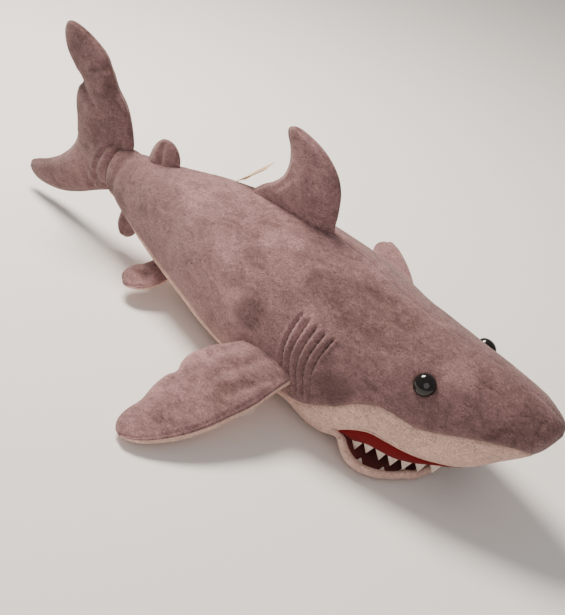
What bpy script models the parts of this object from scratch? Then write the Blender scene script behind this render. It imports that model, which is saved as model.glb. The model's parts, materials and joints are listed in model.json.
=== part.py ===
"""Plush shark: a stuffed toy with a hollow open mouth, sewn fins and a tail fin.

Metres, +Z up. The snout points to +X and the shark's left side is +Y. The belly rests on the
plane z = 0, and the origin lies on the flat of the belly. Every soft hinge has an empty on its axis.
"""

import math

import bmesh
import bpy
from mathutils import Vector

MM = 0.001

# Fabric thicknesses and the clearances between pieces.
COVER = 2.5 * MM
FELT = 1.6 * MM
LINING = 1.5 * MM
SEAM_GAP = 0.9 * MM
SEAM_OFFSET = 0.9
FIN_SEAM = 1.3
CORE_INSET = 4.8 * MM
TOUCH_GAP = 0.3 * MM

# Body: (x, half width, height of the widest line, top, bottom), millimetres, tail root to snout.
BODY = (
    (-201, 16.5, 78, 102, 55),
    (-190, 19, 76, 102, 51),
    (-161, 26, 69, 106, 39),
    (-118, 37, 64, 117, 23),
    (-71, 49, 60, 129, 10),
    (-19, 61, 56, 136.5, -2),
    (33, 71, 53, 139.5, -4),
    (85, 74, 52, 135, -4),
    (132, 70, 54, 127, 3),
    (175, 62, 58, 122, 25),
    (210, 52, 67, 119, 39),
    (238, 41, 75, 116, 50),
    (260, 30, 82, 112, 60),
    (275, 19, 87, 106, 71),
    (283, 10, 90, 100, 81),
    (286, 1.2, 91, 92.4, 89.6),
)
TOP_POWER = 1.85
BOTTOM_POWER = 2.1

# Height of the seam between the grey back and the cream belly, and of the upper lip: (x, z).
SIDE_SEAM = (
    (-201, 62), (-156, 47), (-94, 40), (-51, 33), (0, 25), (60, 24), (100, 31), (132, 50),
    (154, 64), (168, 69), (198, 69), (220, 73), (240, 78), (258, 80), (270, 77), (274, 72),
)
UPPER_LIP = (
    (140, 25), (146, 30), (155, 36), (167, 41), (179, 43), (202, 46.5), (217, 50), (228, 52), (241, 51.4),
)
TAIL_ROOT_X = -201
THROAT_X = 139
MOUTH_FRONT_X = 241
SNOUT_SEAM_X = 274

# Mouth arch in plan: half an ellipse that the gum and the teeth follow.
ARCH_CENTRE_X = 152
ARCH_DEPTH = 80
ARCH_HALF_WIDTH = 51
GUM_HEIGHT = 8
TOOTH_HEIGHT = 9.5
TOOTH_BAND = 1.2
UPPER_TOOTH_COUNT = 14

# Lower jaw: (x, half width, rim height, bottom).
JAW = (
    (150, 60, 25, 3.2), (158, 60, 18, 2), (168, 59, 13, 1.5), (178, 56, 11.2, 1.5), (188, 50, 11, 1.5),
    (198, 39, 11.3, 1.8), (205, 26, 12, 2.8), (209, 13, 12.6, 5.5), (210.5, 2, 12.8, 10.8),
)
JAW_POWER = 2.8
JAW_DISH = 1.5
JAW_COVER = 1.6 * MM
JAW_HINGE = (146, 28)
LOWER_TOOTH_COUNT = 10
LOWER_TOOTH_HEIGHT = 5.5

# Safety eye: 18 mm dome on a shank, held by a washer behind the cover.
EYE_X = 189
EYE_HEIGHT = 95
EYE_RADIUS = 9 * MM
EYE_DOME_HEIGHT = 6.5 * MM
SHANK_RADIUS = 2 * MM
SHANK_LENGTH = 13 * MM
WASHER_RADIUS = 8 * MM
WASHER_THICKNESS = 1.4 * MM

# Gill tucks: five stitched lines on each side.
GILL_COUNT = 5
GILL_TOP_X = (78, 111)
GILL_TOP_Z = (97, 93)
GILL_BOTTOM_X = (87, 114)
GILL_BOTTOM_Z = 41
GILL_BOW = 5
THREAD_RADIUS = 0.45 * MM

# Fins: rows (leading x, leading b, trailing x, trailing b, half thickness) from root to tip. b is the
# height z of an upright fin, and the distance out from the root line of a pectoral or pelvic fin.
DORSAL = (
    (47, 145.5, -40, 141.5, 3.2), (47, 159, -27, 149, 7.5), (44, 173, -16, 160, 8), (37, 185, -12, 172, 7),
    (25, 194.5, -12.5, 182, 6), (9, 202, -16.5, 191, 4.5), (-6, 205.5, -19.5, 199, 2.5),
)
SECOND_DORSAL = (
    (-128, 119, -163, 110.5, 2.6), (-129.5, 124.5, -162, 116, 3.6), (-133.5, 129, -159, 123, 3.4),
    (-140, 131.5, -155, 128, 2.6),
)
ANAL = (
    (-160, 34.5, -184, 43.5, 2.6), (-163.5, 27.5, -187, 33.5, 3.4), (-168, 21, -187.5, 24, 3.2),
    (-175, 16, -184, 17, 2.6),
)
PECTORAL = (
    (92, 0.5, 33, 0.5, 3.2), (92, 15, 21, 12, 7.5), (90.5, 32, 15.5, 29, 8.5), (87, 52, 18.5, 49, 8.5),
    (81, 72, 18, 69, 8), (72.5, 91, 21, 87, 7), (61, 107, 21, 102, 5.8), (49, 118.5, 23.5, 113, 4),
    (42, 121.5, 29, 119, 2.4),
)
PELVIC = (
    (-90, 3.5, -118, 0.5, 2.7), (-88.5, 10, -122, 8, 3.6), (-91, 20, -124.5, 16, 3.6),
    (-98, 28, -121.5, 24, 3.2), (-105, 31.5, -115.5, 29.5, 2.6),
)
# Tail fin: (front x, front z, rear x, rear z, half thickness, root half width), lower to upper tip.
TAIL = (
    (-320, 18, -324, 26, 2.4, 0), (-300, 13.5, -308, 36, 5, 0), (-272, 18, -286, 50, 7, 0),
    (-243, 31, -271, 64, 8, 2), (-223, 45, -264.5, 75, 8, 8), (-217, 60, -262, 84, 8, 13.5),
    (-217, 78, -264, 94, 8, 15.5), (-217, 96, -268, 108, 8, 11.5), (-206, 109, -271, 121, 7.5, 4),
    (-198, 122, -270, 132, 7.5, 0), (-203, 140, -267, 142, 7.5, 0), (-219, 154, -274, 149, 7, 0),
    (-235, 173, -288, 157, 6, 0), (-258, 185, -297, 168, 4.5, 0), (-280, 189.5, -299, 178, 2.6, 0),
)
TAIL_AXIS_X = -217
PECTORAL_ROOT = (78.5, 44)
PECTORAL_DROOP = {"right": math.radians(18), "left": math.radians(14)}
# How far the tip of the fin is bent (back, up). The left one is bent back and up.
PECTORAL_BEND = {"right": (0, 0), "left": (42, 35)}
PECTORAL_REACH = 123.8
PELVIC_ROOT = (28.5, 24)
PELVIC_DROOP = math.radians(15)

# Care label: a blank folded ribbon sewn into the back behind the dorsal fin.
LABEL_ROOT = (-60, 9, 134.6)
LABEL_LENGTH = 34
LABEL_WIDTH = 11
LABEL_LEAN = math.radians(45)

COLOURS = {
    "grey_plush": (0.33, 0.22, 0.20, 0.95),
    "cream_plush": (0.56, 0.42, 0.37, 0.95),
    "polyester_filling": (0.85, 0.84, 0.80, 1.0),
    "red_felt": (0.23, 0.01, 0.012, 0.9),
    "dark_red_lining": (0.09, 0.015, 0.016, 0.85),
    "cream_felt": (0.62, 0.50, 0.44, 0.9),
    "black_plastic": (0.01, 0.008, 0.008, 0.08),
    "washer_plastic": (0.80, 0.80, 0.78, 0.4),
    "thread": (0.10, 0.06, 0.055, 0.8),
    "ribbon": (0.78, 0.50, 0.30, 0.6),
}


def clear_scene():
    for item in list(bpy.data.objects):
        bpy.data.objects.remove(item, do_unlink=True)


def new_collection(name):
    group = bpy.data.collections.new(name)
    bpy.context.scene.collection.children.link(group)
    return group


def material(name):
    """The Principled material of one finish, made on first use."""
    found = bpy.data.materials.get(name)
    if found:
        return found
    made = bpy.data.materials.new(name)
    made.use_nodes = True
    red, green, blue, roughness = COLOURS[name]
    shader = made.node_tree.nodes["Principled BSDF"]
    shader.inputs["Base Color"].default_value = (red, green, blue, 1)
    shader.inputs["Roughness"].default_value = roughness
    made.diffuse_color = (red, green, blue, 1)
    return made


def smooth(table, x):
    """The rest of a table's row at x, on a smooth curve through the rows, which are sorted by x."""
    last = len(table) - 1
    if x <= table[0][0]:
        return table[0][1:]
    if x >= table[last][0]:
        return table[last][1:]
    i = max(k for k in range(last) if table[k][0] <= x)
    span = table[i + 1][0] - table[i][0]
    t = (x - table[i][0]) / span
    values = []
    for column in range(1, len(table[0])):
        slopes = []
        for k in (i, i + 1):
            low, high = max(k - 1, 0), min(k + 1, last)
            slopes.append((table[high][column] - table[low][column]) / (table[high][0] - table[low][0]))
        a, b = table[i][column], table[i + 1][column]
        values.append(
            a * (1 + 2 * t) * (1 - t) ** 2
            + b * t * t * (3 - 2 * t)
            + span * t * (1 - t) * (slopes[0] * (1 - t) - slopes[1] * t)
        )
    return tuple(values)


def along(rows, count):
    """count rows, evenly spread on a smooth curve through the given rows."""
    table = [(i, *row) for i, row in enumerate(rows)]
    last = len(rows) - 1
    return [smooth(table, last * i / (count - 1)) for i in range(count)]


def spread(start, end, count):
    return [start + (end - start) * i / (count - 1) for i in range(count)]


def millimetres(x, y, z):
    return Vector((x, y, z)) * MM


def skin_point(x, angle, inset=0.0):
    """A point of the body's skin, millimetres. angle runs from 0 at the top over the right side (-Y)."""
    half, middle, top, bottom = smooth(BODY, x)
    sine, cosine = math.sin(angle), math.cos(angle)
    power = 2 / (TOP_POWER if cosine > 0 else BOTTOM_POWER)
    y = -max(half - inset, 0.3) * math.copysign(abs(sine) ** power, sine)
    reach = top - middle if cosine > 0 else middle - bottom
    z = middle + max(reach - inset, 0.3) * math.copysign(abs(cosine) ** power, cosine)
    return Vector((x, y, max(z, inset)))


def angle_at(x, z):
    """The angle of the skin's point at height z, on the right side."""
    _, middle, top, bottom = smooth(BODY, x)
    if z >= middle:
        return math.acos(min((z - middle) / (top - middle), 1) ** (TOP_POWER / 2))
    return math.pi - math.acos(min((middle - z) / (middle - bottom), 1) ** (BOTTOM_POWER / 2))


def seam_angle(x):
    """The seam between back and belly. In front of SNOUT_SEAM_X the grey meets itself underneath."""
    if x >= SNOUT_SEAM_X:
        return math.pi
    return angle_at(x, smooth(SIDE_SEAM, x)[0])


def lip_angle(x):
    """Where the skin stops at the upper lip, or at the middle of the underside in front of the mouth."""
    if x >= MOUTH_FRONT_X:
        return math.pi
    return angle_at(x, smooth(UPPER_LIP, x)[0])


def put(mesh, name, finish, group):
    made = bpy.data.objects.new(name, mesh)
    mesh.materials.append(material(finish))
    group.objects.link(made)
    return made


def grid_mesh(name, rows, flip=False, loop=False):
    """A mesh through rows of points, metres. loop joins each row's last point to its first."""
    shape = bmesh.new()
    grid = [[shape.verts.new(point) for point in row] for row in rows]
    width = len(rows[0])
    for upper, lower in zip(grid, grid[1:]):
        for j in range(width if loop else width - 1):
            k = (j + 1) % width
            corners = (upper[j], lower[j], lower[k], upper[k])
            shape.faces.new(tuple(reversed(corners)) if flip else corners)
    if loop:
        shape.faces.new(grid[0])
        shape.faces.new(grid[-1])
        bmesh.ops.recalc_face_normals(shape, faces=shape.faces)
    mesh = bpy.data.meshes.new(name)
    shape.to_mesh(mesh)
    shape.free()
    mesh.shade_smooth()
    mesh.set_sharp_from_angle(angle=math.radians(50))
    return mesh


def sheet(name, rows, thickness, finish, group, flip=False):
    """A fabric panel: an open surface that gets its thickness on its inner side."""
    made = put(grid_mesh(name, rows, flip), name, finish, group)
    shell = made.modifiers.new("Thickness", "SOLIDIFY")
    shell.thickness = thickness
    shell.offset = -1
    return made


def solid(name, rings, finish, group):
    """A closed solid through rings of points, with flat ends."""
    return put(grid_mesh(name, rings, loop=True), name, finish, group)


def cut(item, cutter):
    tool = item.modifiers.new("Cut by " + cutter.name, "BOOLEAN")
    tool.operation = "DIFFERENCE"
    tool.object = cutter
    tool.solver = "EXACT"


def mirrored(point, side):
    """A point given for the right side (-Y), moved to the named side."""
    return point if side == "right" else Vector((point.x, -point.y, point.z))


def off_middle(point, side):
    """Keeps a panel's edge half a seam away from the shark's middle plane."""
    y = min(point.y, -SEAM_GAP / MM)
    return mirrored(Vector((point.x, y, point.z)), side) * MM


# Covers of the body and head.

REAR_STATIONS = spread(TAIL_ROOT_X, -161, 3) + spread(-130, 118, 9)
BACK_STATIONS = REAR_STATIONS + spread(140, 238, 5) + [250, 260, 268, 274.5, 280, 284, 285.7]


def back_cover(side, group):
    """The grey panel of one side, from the middle of the back down to the side seam."""
    rows = []
    for x in BACK_STATIONS:
        end = seam_angle(x) - (0 if x >= SNOUT_SEAM_X else SEAM_OFFSET / smooth(BODY, x)[0])
        rows.append([off_middle(skin_point(x, angle), side) for angle in spread(0, end, 8)])
    return sheet("back_cover_" + side, rows, COVER, "grey_plush", group, flip=side == "right")


def belly_cover(group):
    """The cream panel under the body, from side seam to side seam."""
    rows = []
    for x in REAR_STATIONS + [THROAT_X - 0.4]:
        start = seam_angle(x) + SEAM_OFFSET / smooth(BODY, x)[0]
        angles = spread(start, 2 * math.pi - start, 12)
        rows.append([skin_point(x, angle) * MM for angle in angles])
    return sheet("belly_cover", rows, COVER, "cream_plush", group, flip=True)


def muzzle_cover(group):
    """The cream panel of both cheeks and of the underside of the snout."""
    rows = []
    for x in spread(THROAT_X + 0.4, 230, 8) + [237, 242, 250, 258, 266]:
        start = seam_angle(x) + SEAM_OFFSET / smooth(BODY, x)[0]
        rows.append((x, start, lip_angle(x)))
    shape = bmesh.new()
    columns = 5
    for side in ("right", "left"):
        grid = []
        for x, start, end in rows:
            points = [mirrored(skin_point(x, angle), side) * MM for angle in spread(start, end, columns)]
            grid.append([shape.verts.new(point) for point in points])
        for upper, lower in zip(grid, grid[1:]):
            for j in range(columns - 1):
                corners = (upper[j], lower[j], lower[j + 1], upper[j + 1])
                shape.faces.new(corners if side == "left" else tuple(reversed(corners)))
    bmesh.ops.remove_doubles(shape, verts=shape.verts, dist=0.05 * MM)
    mesh = bpy.data.meshes.new("muzzle_cover")
    shape.to_mesh(mesh)
    shape.free()
    mesh.shade_smooth()
    made = put(mesh, "muzzle_cover", "cream_plush", group)
    shell = made.modifiers.new("Thickness", "SOLIDIFY")
    shell.thickness = COVER
    shell.offset = -1
    return made


# Filling.

def body_stuffing(group):
    inset = CORE_INSET / MM
    rings = []
    for x in [TAIL_ROOT_X + 1.5] + REAR_STATIONS[1:] + [THROAT_X - 1.5]:
        rings.append([skin_point(x, 2 * math.pi * k / 18, inset) * MM for k in range(18)])
    return solid("body_stuffing", rings, "polyester_filling", group)


def head_stuffing(group):
    """The filling over the mouth: its underside is flat above the palate lining."""
    rings = []
    for x in spread(THROAT_X + 4.5, 232, 6) + [238, 248, 258, 265, 270]:
        inset = CORE_INSET / MM + max(x - 245, 0) * 0.16
        floor = max(smooth(UPPER_LIP, x)[0] + 5.5, smooth(BODY, x)[3] + inset) if x < MOUTH_FRONT_X else -1
        ring = []
        for k in range(20):
            point = skin_point(x, 2 * math.pi * k / 20, inset)
            ring.append(Vector((point.x, point.y, max(point.z, floor))) * MM)
        rings.append(ring)
    return solid("head_stuffing", rings, "polyester_filling", group)


# Mouth.

def arch_point(angle, drop, inset=0.0):
    """A point of the mouth arch, millimetres. angle runs from -90 to 90 degrees, right corner to left."""
    x = ARCH_CENTRE_X + (ARCH_DEPTH - inset) * math.cos(angle)
    y = (ARCH_HALF_WIDTH - inset) * math.sin(angle)
    return Vector((x, y, smooth(UPPER_LIP, x)[0] - drop))


def palate_lining(group):
    """The dark lining over the roof of the mouth and down its back wall."""
    rows = []
    for z in (9, 18, 25):
        rows.append([millimetres(142.6, y, z) for y in spread(-46, 46, 7)])
    for x in (146, 152, 162, 175, 190, 205, 216, 224):
        reach = (x - ARCH_CENTRE_X) / (ARCH_DEPTH - 3)
        half = (ARCH_HALF_WIDTH - 4) * math.sqrt(max(1 - max(reach, 0) ** 2, 0.03))
        z = smooth(UPPER_LIP, x)[0] + 1
        rows.append([millimetres(x, y, z + 1.2 * (1 - (y / half) ** 2)) for y in spread(-half, half, 7)])
    return sheet("palate_lining", rows, LINING, "dark_red_lining", group, flip=True)


def upper_gum(group):
    rows = []
    for angle in spread(-math.radians(86), math.radians(86), 23):
        rows.append([arch_point(angle, drop) * MM for drop in (-0.6, GUM_HEIGHT)])
    return sheet("upper_gum", rows, FELT, "red_felt", group)


def teeth_strip(name, count, span, edge, tip, finish, group, flip=False):
    """A felt strip cut into points. edge and tip give the point at an angle along the strip."""
    rows = []
    for k in range(2 * count + 1):
        angle = span * (k / count - 1)
        low = tip(angle) if k % 2 else edge(angle, TOOTH_BAND)
        rows.append([edge(angle, 0) * MM, low * MM])
    return sheet(name, rows, FELT, finish, group, flip)


def upper_teeth(group):
    top = GUM_HEIGHT + 0.4
    return teeth_strip(
        "upper_teeth", UPPER_TOOTH_COUNT, math.radians(76),
        lambda angle, drop: arch_point(angle, top + drop),
        lambda angle: arch_point(angle, top + TOOTH_HEIGHT),
        "cream_felt", group,
    )


# Lower jaw.

def jaw_point(x, angle, inset=0.0):
    """A point of the jaw's skin, millimetres: angle 0 at the right rim, 180 degrees at the left rim."""
    half, rim, bottom = smooth(JAW, x)
    power = 2 / JAW_POWER
    cosine, sine = math.cos(angle), math.sin(angle)
    y = -max(half - inset, 0.4) * math.copysign(abs(cosine) ** power, cosine)
    z = rim - max(rim - bottom - inset, 0.4) * abs(sine) ** power
    return Vector((x, y, z))


JAW_STATIONS = [150, 158, 168, 178, 187, 195, 201, 205.5, 208.5, 210.2]


def jaw_cover(group):
    rows = [[jaw_point(x, angle) * MM for angle in spread(0, math.pi, 13)] for x in JAW_STATIONS]
    return sheet("jaw_cover", rows, JAW_COVER, "cream_plush", group, flip=True)


def dished(x, half, drop):
    """A row across the inside of the jaw, drop below the rim at its ends and lower in the middle."""
    rim = smooth(JAW, x)[1]
    return [Vector((x, y, rim - drop - JAW_DISH * (1 - (y / half) ** 2))) for y in spread(-half, half, 8)]


def jaw_lining(group):
    rows = []
    for x in (150, 158, 168, 178, 187, 194, 199):
        half = smooth(JAW, x)[0] - 3.6 - max(x - 187, 0) * 0.2
        rows.append([point * MM for point in dished(x, half, 0.4)])
    return sheet("jaw_lining", rows, LINING, "dark_red_lining", group)


def jaw_stuffing(group):
    """The thin filling between the jaw's cover and its lining."""
    rings = []
    for x in (153, 159, 168, 178, 187, 194):
        inset = 2.4 + max(x - 178, 0) * 0.12
        lower = [jaw_point(x, angle, inset) for angle in spread(math.radians(28), math.radians(152), 8)]
        upper = dished(x, -lower[0].y, 2.7 if x > 165 else 4.4)
        rings.append([point * MM for point in lower + list(reversed(upper))])
    return solid("jaw_stuffing", rings, "polyester_filling", group)


def jaw_rim_point(angle, rise):
    """A point above the jaw's lining, just inside its rim. angle runs from the right corner to the left."""
    x = 158 + 46 * math.cos(angle)
    half, rim, _ = smooth(JAW, x)
    spread_out = abs(math.sin(angle)) ** 0.5 if x > 190 else 1
    return Vector((x, (half - 5) * math.copysign(spread_out, angle), rim + rise))


# Eyes.

def eye_frame(side):
    """The eye's place on the skin and the direction that it looks in."""
    angle = angle_at(EYE_X, EYE_HEIGHT)
    step = 0.05
    place = skin_point(EYE_X, angle)
    across = skin_point(EYE_X, angle + step) - place
    ahead = skin_point(EYE_X + 2, angle) - place
    outward = across.cross(ahead).normalized()
    if outward.y > 0:
        outward = -outward
    return mirrored(place, side) * MM, mirrored(outward, side)


def turned(name, profile, finish, group, side):
    """A turned piece: its axis is the eye's outward direction, and heights are above the skin."""
    mesh = bpy.data.meshes.new(name)
    points = [(radius, 0, height) for radius, height in profile]
    closed = profile[0][0] > 0 and profile[-1][0] > 0
    edges = [(k, k + 1) for k in range(len(points) - 1)] + ([(len(points) - 1, 0)] if closed else [])
    mesh.from_pydata(points, edges, [])
    made = put(mesh, name, finish, group)
    place, outward = eye_frame(side)
    made.location = place
    made.rotation_euler = outward.to_track_quat("Z", "Y").to_euler()
    screw = made.modifiers.new("Turn", "SCREW")
    screw.steps = screw.render_steps = 16
    screw.use_merge_vertices = True
    screw.merge_threshold = 0.00005
    screw.use_smooth_shade = True
    return made


def eye(side, group):
    """A glossy dome with a shank, in one piece."""
    base = TOUCH_GAP * 2
    dome = [(EYE_RADIUS * math.sin(math.radians(a)), base + EYE_DOME_HEIGHT * math.cos(math.radians(a)))
            for a in range(0, 91, 18)]
    dome[0] = (0, base + EYE_DOME_HEIGHT)
    profile = dome + [(SHANK_RADIUS, base), (SHANK_RADIUS, -SHANK_LENGTH), (0, -SHANK_LENGTH)]
    return turned("eye_" + side, profile, "black_plastic", group, side)


def eye_washer(side, group):
    top = -(COVER + 2.4 * MM)
    low = top - WASHER_THICKNESS
    hole = SHANK_RADIUS + TOUCH_GAP
    profile = [(hole, top), (WASHER_RADIUS, top), (WASHER_RADIUS, low), (hole, low)]
    return turned("eye_washer_" + side, profile, "washer_plastic", group, side)


def eye_cutter(name, radius, depth, side, group):
    place, outward = eye_frame(side)
    bpy.ops.mesh.primitive_cylinder_add(vertices=24, radius=radius, depth=depth, location=place)
    cutter = bpy.context.object
    cutter.name = name
    cutter.rotation_euler = outward.to_track_quat("Z", "Y").to_euler()
    cutter.hide_render = True
    cutter.display_type = "WIRE"
    for owner in list(cutter.users_collection):
        owner.objects.unlink(cutter)
    group.objects.link(cutter)
    return cutter


# Gills.

def gill_thread(side, number, group):
    """The stitched line of one gill tuck, lying on the cover."""
    t = number / (GILL_COUNT - 1)
    top_x = GILL_TOP_X[0] + (GILL_TOP_X[1] - GILL_TOP_X[0]) * t
    top_z = GILL_TOP_Z[0] + (GILL_TOP_Z[1] - GILL_TOP_Z[0]) * t
    bottom_x = GILL_BOTTOM_X[0] + (GILL_BOTTOM_X[1] - GILL_BOTTOM_X[0]) * t
    curve = bpy.data.curves.new("gill", "CURVE")
    curve.dimensions = "3D"
    curve.bevel_depth = THREAD_RADIUS
    curve.bevel_resolution = 0
    curve.use_fill_caps = True
    line = curve.splines.new("POLY")
    count = 8
    line.points.add(count - 1)
    for k in range(count):
        s = k / (count - 1)
        x = top_x + (bottom_x - top_x) * s - GILL_BOW * math.sin(math.pi * s)
        z = top_z + (GILL_BOTTOM_Z - top_z) * s
        lift = -(THREAD_RADIUS + TOUCH_GAP + 0.3 * MM) / MM
        point = skin_point(x, angle_at(x, z), lift)
        line.points[k].co = (*(mirrored(point, side) * MM), 1)
    name = f"gill_thread_{side}_{number + 1}"
    curve.materials.append(material("thread"))
    made = bpy.data.objects.new(name, curve)
    group.objects.link(made)
    return made


# Fins.

def fin_rows(outline, count, columns, side, place, inset=0.0, seam=FIN_SEAM):
    """Rows of points over one face of a fin. side is 1 or -1 along the fin's normal."""
    rows = []
    for front_x, front_b, rear_x, rear_b, half in along(outline, count):
        chord = math.hypot(front_x - rear_x, front_b - rear_b)
        row = []
        for k in range(columns):
            v = (1 - math.cos(math.pi * k / (columns - 1))) / 2
            w = (inset + v * (chord - 2 * inset)) / chord
            lift = max(half - inset, 0.5) * math.sqrt(4 * v * (1 - v)) + seam
            a = front_x + (rear_x - front_x) * w
            b = front_b + (rear_b - front_b) * w
            row.append(place(a, b, side * lift))
        rows.append(row)
    return rows


def fin_filling_rings(outline, count, columns, place, inset=3.4, trim=(0.04, 0.9)):
    """Closed rings through a fin's filling, inset from its covers."""
    start, end = trim
    last = len(outline) - 1
    table = [(i, *row) for i, row in enumerate(outline)]
    shorter = [smooth(table, last * (start + (end - start) * i / (count - 1))) for i in range(count)]
    near = fin_rows(shorter, count, columns, 1, place, inset, 0.0)
    far = fin_rows(shorter, count, columns, -1, place, inset, 0.0)
    return [a + list(reversed(b))[1:-1] for a, b in zip(near, far)]


def upright(a, b, n):
    """An upright fin: a runs along the body, b is the height, n points to the left side."""
    return millimetres(a, n, b)


def sideways(side, root, droop, bend=(0, 0)):
    """A fin that stands out from the body's side: b is the distance out from the root line."""
    sign = -1 if side == "right" else 1
    y, z = root

    def place(a, b, n):
        out = b * math.cos(droop) + n * math.sin(droop)
        share = (max(b, 0) / PECTORAL_REACH) ** 2
        up = z - b * math.sin(droop) + n * math.cos(droop)
        return millimetres(a - bend[0] * share, sign * (y + out), up + bend[1] * share)

    return place


def upright_covers(prefix, outline, rows, columns, thickness, group):
    made = []
    for side, sign in (("left", 1), ("right", -1)):
        grid = fin_rows(outline, rows, columns, sign, upright)
        made.append(sheet(f"{prefix}_{side}", grid, thickness, "grey_plush", group, flip=sign < 0))
    return made


def dorsal_fin(group):
    made = upright_covers("dorsal_fin_cover", DORSAL, 8, 7, COVER, group)
    rings = fin_filling_rings(DORSAL, 6, 6, upright, trim=(0.07, 0.84))
    made.append(solid("dorsal_fin_stuffing", rings, "polyester_filling", group))
    return made


def second_dorsal_fin(group):
    return upright_covers("second_dorsal_fin_layer", SECOND_DORSAL, 5, 5, FELT, group)


def anal_fin(group):
    made = []
    for side, sign in (("left", 1), ("right", -1)):
        grid = fin_rows(ANAL, 5, 5, sign, upright)
        made.append(sheet("anal_fin_layer_" + side, grid, FELT, "grey_plush", group, flip=sign > 0))
    return made


def pectoral_fin(side, group):
    place = sideways(side, PECTORAL_ROOT, PECTORAL_DROOP[side], PECTORAL_BEND[side])
    name = "pectoral_fin"
    left = side == "left"
    top = fin_rows(PECTORAL, 10, 7, 1, place)
    under = fin_rows(PECTORAL, 10, 7, -1, place)
    rings = fin_filling_rings(PECTORAL, 7, 6, place, trim=(0.05, 0.85))
    return [
        sheet(f"{name}_top_cover_{side}", top, COVER, "grey_plush", group, flip=left),
        sheet(f"{name}_under_cover_{side}", under, COVER, "cream_plush", group, flip=not left),
        solid(f"{name}_stuffing_{side}", rings, "polyester_filling", group),
    ]


def pelvic_fin(side, group):
    place = sideways(side, PELVIC_ROOT, PELVIC_DROOP)
    left = side == "left"
    top = fin_rows(PELVIC, 6, 5, 1, place)
    under = fin_rows(PELVIC, 6, 5, -1, place)
    return [
        sheet("pelvic_fin_top_layer_" + side, top, FELT, "grey_plush", group, flip=left),
        sheet("pelvic_fin_under_layer_" + side, under, FELT, "cream_plush", group, flip=not left),
    ]


# Tail fin.

def tail_lift(half, root, v, inset):
    swell = max(half - inset, 0.5) ** 2 * 4 * v * (1 - v)
    neck = max(root - inset, 0.0) ** 2 * (1 - v) ** 2
    return math.sqrt(swell + neck)


def tail_rows(outline, count, columns, side, inset=0.0, seam=FIN_SEAM):
    rows = []
    for front_x, front_z, rear_x, rear_z, half, root in along(outline, count):
        chord = math.hypot(front_x - rear_x, front_z - rear_z)
        row = []
        for k in range(columns):
            v = (1 - math.cos(math.pi * k / (columns - 1))) / 2
            w = (inset + v * (chord - 2 * inset)) / chord
            lift = tail_lift(half, max(root, 0), v, inset) + seam
            row.append(upright(front_x + (rear_x - front_x) * w, front_z + (rear_z - front_z) * w, side * lift))
        rows.append(row)
    return rows


def tail_covers(group):
    made = []
    for side, sign in (("left", 1), ("right", -1)):
        grid = tail_rows(TAIL, 19, 7, sign)
        made.append(sheet("tail_fin_cover_" + side, grid, COVER, "grey_plush", group, flip=sign < 0))
    return made


def tail_stuffing(group):
    """The filling of both lobes and of the neck where the tail joins the body."""
    last = len(TAIL) - 1
    table = [(i, *row) for i, row in enumerate(TAIL)]
    count = 15
    shorter = [smooth(table, last * (0.07 + 0.84 * i / (count - 1))) for i in range(count)]
    rings = []
    near = tail_rows(shorter, count, 6, 1, 3.8, 0.0)
    far = tail_rows(shorter, count, 6, -1, 3.8, 0.0)
    for a, b in zip(near, far):
        front = max(a[0].y, 0.3 * MM)
        nose = Vector((a[0].x + front * 0.8, 0, a[0].z))
        first = Vector((a[0].x, front, a[0].z))
        second = Vector((b[0].x, -front, b[0].z))
        rings.append([nose, first] + a[1:] + list(reversed(b))[1:-1] + [second])
    return solid("tail_fin_stuffing", rings, "polyester_filling", group)


# Care label.

def care_label(group):
    """A ribbon folded double: one closed strip with a rounded fold at its free end."""
    x, y, z = LABEL_ROOT
    half = 0.5
    along_x, along_z = math.cos(LABEL_LEAN), math.sin(LABEL_LEAN)
    rows = []
    for s in spread(0, LABEL_LENGTH, 6):
        bow = 2.2 * math.sin(math.pi * s / LABEL_LENGTH)
        centre = Vector((x + s * along_x - bow * along_z, y, z + s * along_z + bow * along_x))
        rows.append([(centre + Vector((half * along_z, d, -half * along_x))) * MM
                     for d in spread(-LABEL_WIDTH / 2, LABEL_WIDTH / 2, 3)])
    return [sheet("care_label", rows, 2 * half * MM, "ribbon", group)]


def hinge(name, place, pieces, group):
    """An empty on a joint's axis, which carries the pieces that move with it."""
    axis = bpy.data.objects.new(name, None)
    axis.location = place
    axis.empty_display_size = 0.02
    group.objects.link(axis)
    bpy.context.view_layer.update()
    for piece in pieces:
        piece.parent = axis
        piece.matrix_parent_inverse = axis.matrix_world.inverted()
    return axis


def lower_teeth(group):
    """Short felt points that stand up inside the jaw's rim."""
    return teeth_strip(
        "lower_teeth", LOWER_TOOTH_COUNT, math.radians(88),
        lambda angle, rise: jaw_rim_point(angle, 0.2 + rise),
        lambda angle: jaw_rim_point(angle, LOWER_TOOTH_HEIGHT),
        "cream_felt", group, flip=True,
    )


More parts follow.
